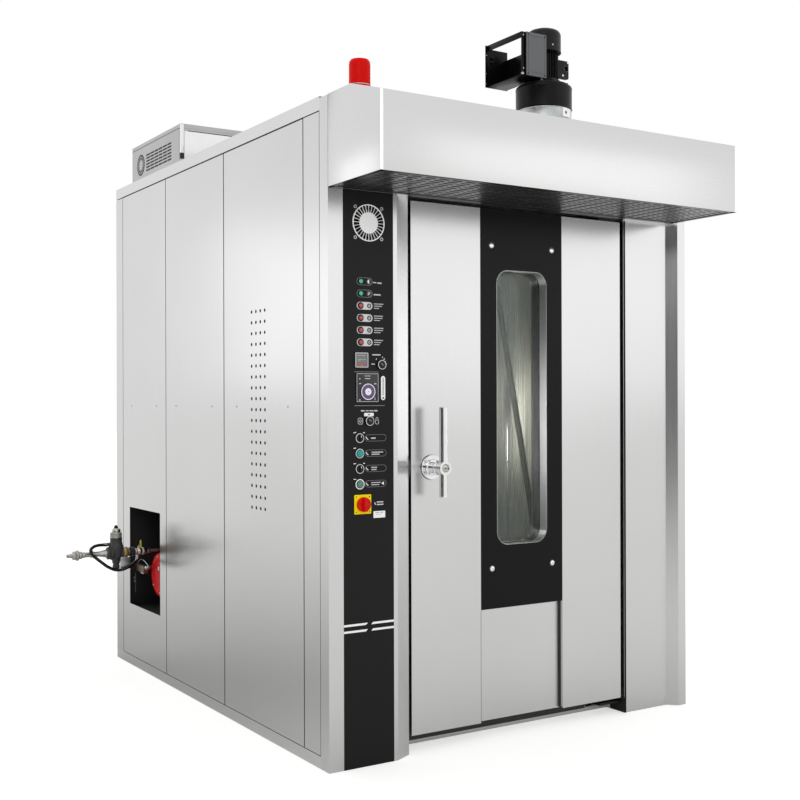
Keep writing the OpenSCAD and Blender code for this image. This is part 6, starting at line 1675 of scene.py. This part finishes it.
    def burner_group(self) -> None:
        """Shape the burner's casing with its screws and peephole, and the feed pipe to it."""
        (x, y, z), r, (line_y, line_z) = self.burner, self.burner_radius, self.line
        drum = [(0, 5), (r - 38, 5), (r - 34, 1.5), (r - 26, 0.5), (r - 10, 0.5), (r - 3, 4), (r - 0.2, 10),
                (r - 0.2, 18), (r - 2.6, 20), (r - 2.6, 26), (r - 0.2, 28), (r - 0.2, 150), (r - 6, 168), (60, 169.8),
                (50, 171), (50, 276), (78, 277), (78, 284), (0, 284)]
        self.put("burner_shell", turned((x, y, z), RIGHT, drum, 0.5, 80), "enamel_red", "burner_red",
                 instead_of=("burner_housing",))
        places = [(x + 0.6, y + (r - 18) * math.cos(t), z + (r - 18) * math.sin(t))
                  for t in (math.radians(20 + 60 * i) for i in range(6))]
        self.put("burner_screws", screws(places, LEFT, 4.6, 2), "zinc_plated")
        peep = [(0, 0), (11, 0), (11, 2), (9, 3.6), (0, 3.6)]
        self.put("burner_peephole", turned((x + 4.5, y, z + 30), LEFT, peep, 0.4, 32), "nickel_plated")
        elbow = [(0, 0), (11.8, 0), (11.8, 20), (9, 27), (0, 27.8)]
        self.put("burner_feed_pipe", [
            rod((5, line_y, line_z), (140, line_y, line_z), 6.6, 0.3),
            rod((6, line_y, line_z), (20, line_y, line_z), 11.5, 0.8, 6),
            turned((150, line_y, line_z - 16), UP, elbow, 0.4, 32)], "zinc_plated", "pipe_steel",
            instead_of=("burner_pipe",))

    def valve_box(self) -> None:
        """Fit the valve box behind the burner, with its fittings, its conduit and the sensor's tube."""
        x, y, z = self.burner
        self.put("gas_valve_box", block((x - 28, y + 121, z - 4), (x - 4, y + 223, z + 29), 2.4, 3), "steel_fired",
                 "pipe_steel")
        self.put("valve_box_fittings", [
            block((x - 29, y + 119, z - 8), (x - 3, y + 225, z - 3), 0.8),
            rod((x - 14, y + 93, z + 22), (x - 14, y + 123, z + 22), 12.5, 1, 8),
            rod((x - 14, y + 75, z + 30), (x - 14, y + 97, z + 26), 8, 0.8, 24)], "nickel_plated", "pipe_steel")
        arc = [(x - 24, y + 213, z + 28), (x - 24, y + 199, z + 42), (x - 22, y + 173, z + 54),
               (x - 20, y + 141, z + 54), (x - 18, y + 113, z + 46), (x - 16, y + 89, z + 34)]
        self.put("valve_conduit", hose(arc, 2.2), "zinc_plated", "pipe_steel")
        tube = rod((x - 46, y + 176, z - 99), (x - 46, y + 176, z - 8), 2, 0.3, 16)
        clips = [block((x - 50, y + 181, z - drop), (x - 42, y + 193, z - drop + 9), 1.4) for drop in (52, 36)]
        self.put("sensor_tube_and_clips", [tube, *clips], "zinc_dark", "pipe_steel")

    def lined_bay(self) -> None:
        """Line the burner's bay with dark sheet, painted near-black as shade, open round the blast tube."""
        (y0, y1, z0, z1), (x0, x1), t, (_, y, z) = self.bay, self.bay_ends, self.sheet, self.burner
        end = cut(block((x1 - t, y0, z0), (x1, y1, z1), 0.4), rod((x1 - 20, y, z), (x1 + 20, y, z), 62, sides=48))
        sides = [block((x0, a, b), (x1, c, d), 0.4) for a, b, c, d in (
            (y0, z0, y0 + t, z1), (y1 - t, z0, y1, z1), (y0, z0, y1, z0 + t), (y0, z1 - t, y1, z1))]
        self.put("burner_bay_lining", [end, *sides], "primer_dark_and_shade", "brushed_sheet")

    def build(self) -> None:
        """Build the gas line and the burner."""
        for make in (self.inlet, self.regulator, self.regulator_head, self.valve, self.impulse_hose,
                     self.burner_group, self.valve_box, self.lined_bay):
            make()


@dataclass
class Chamber(Assembly):
    """The baking chamber behind the door: liner, air duct, lamp, rotating carrier and its drive."""

    slot: ClassVar[str] = "liner_steel"
    strip_levels: tuple[float, float] = (560.0, 1760.0)
    probe_y: float = 865.0
    probe_ends: tuple[float, float] = (470.0, 1345.0)
    clip_levels: tuple[float, ...] = (560.0, 760.0, 960.0, 1160.0, 1320.0)
    bore: float = 19.4

    def light_strip(self) -> None:
        """Fit the oven lamp behind the mouth: a long glass cover in a steel channel."""
        wall, (low, high) = span("chamber_walls")[0], self.strip_levels
        x, y = wall.x + 6, wall.y + 60
        self.put("lamp_channel", block((x, y, low), (x + 18, y + 76, high), 3, 3), "stainless_satin_sleeve")
        self.put("lamp_cover", block((x + 16, y + 10, low + 16), (x + 23, y + 66, high - 16), 2.6, 3), "lamp_glass",
                 "window_glass")

    def probe(self) -> None:
        """Run the temperature probe's bright tube up the right wall, on small clips."""
        x, y = span("chamber_walls")[1].x - 9, self.probe_y
        foot, head = self.probe_ends
        clips = [block((x - 5, y - 9, z), (x + 5.5, y + 9, z + 12), 1.2) for z in self.clip_levels]
        self.put("chamber_probe", [rod((x, y, foot), (x, y, head), 4, 0.8, 24), *clips], "stainless_polished")

    def turntable(self) -> None:
        """Turn the carrier's round plate with a rolled edge and a bore that clears the stub."""
        low, high = span("carrier_turntable")
        mid, reach, thick = (low + high) / 2, (high.x - low.x) / 2 - 0.1, high.z - low.z - 0.2
        profile = [(self.bore, 0), (reach, 0), (reach, thick), (self.bore, thick)]
        self.put("turntable_plate", turned((mid.x, mid.y, low.z + 0.1), UP, profile, 0.8, 96),
                 "stainless_satin_sleeve", "carrier_steel", "carrier", ("carrier_turntable",))

    def build(self) -> None:
        """Dress the chamber and everything inside the walls."""
        self.dress("stainless_heat_tinted", "chamber_walls", "chamber_ceiling", "chamber_floor")
        self.dress("stainless_smoked", "carrier_frame", "mouth_frame")
        self.dress("stainless_satin_sleeve", "carrier_shaft")
        self.dress("mineral_wool", "insulation")
        self.dress("steel_fired", "heat_exchanger")
        self.dress("zinc_plated", "circulation_fan")
        self.dress("cast_painted_black", "circulation_motor", "hinge_pivots")
        self.dress("hammered_blue", "drive_gearmotor")
        self.light_strip()
        self.probe()
        self.turntable()


def main() -> None:
    """Build the studio and every sub-assembly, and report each."""
    logging.basicConfig(level=logging.INFO)
    Studio().build()
    for assembly in (Casing, ControlPanel, Door, Hood, Extractor, GasTrain, Chamber):
        assembly().build()
        LOG.info("%s is dressed", assembly.__name__)


if __name__ == "__main__":
    main()
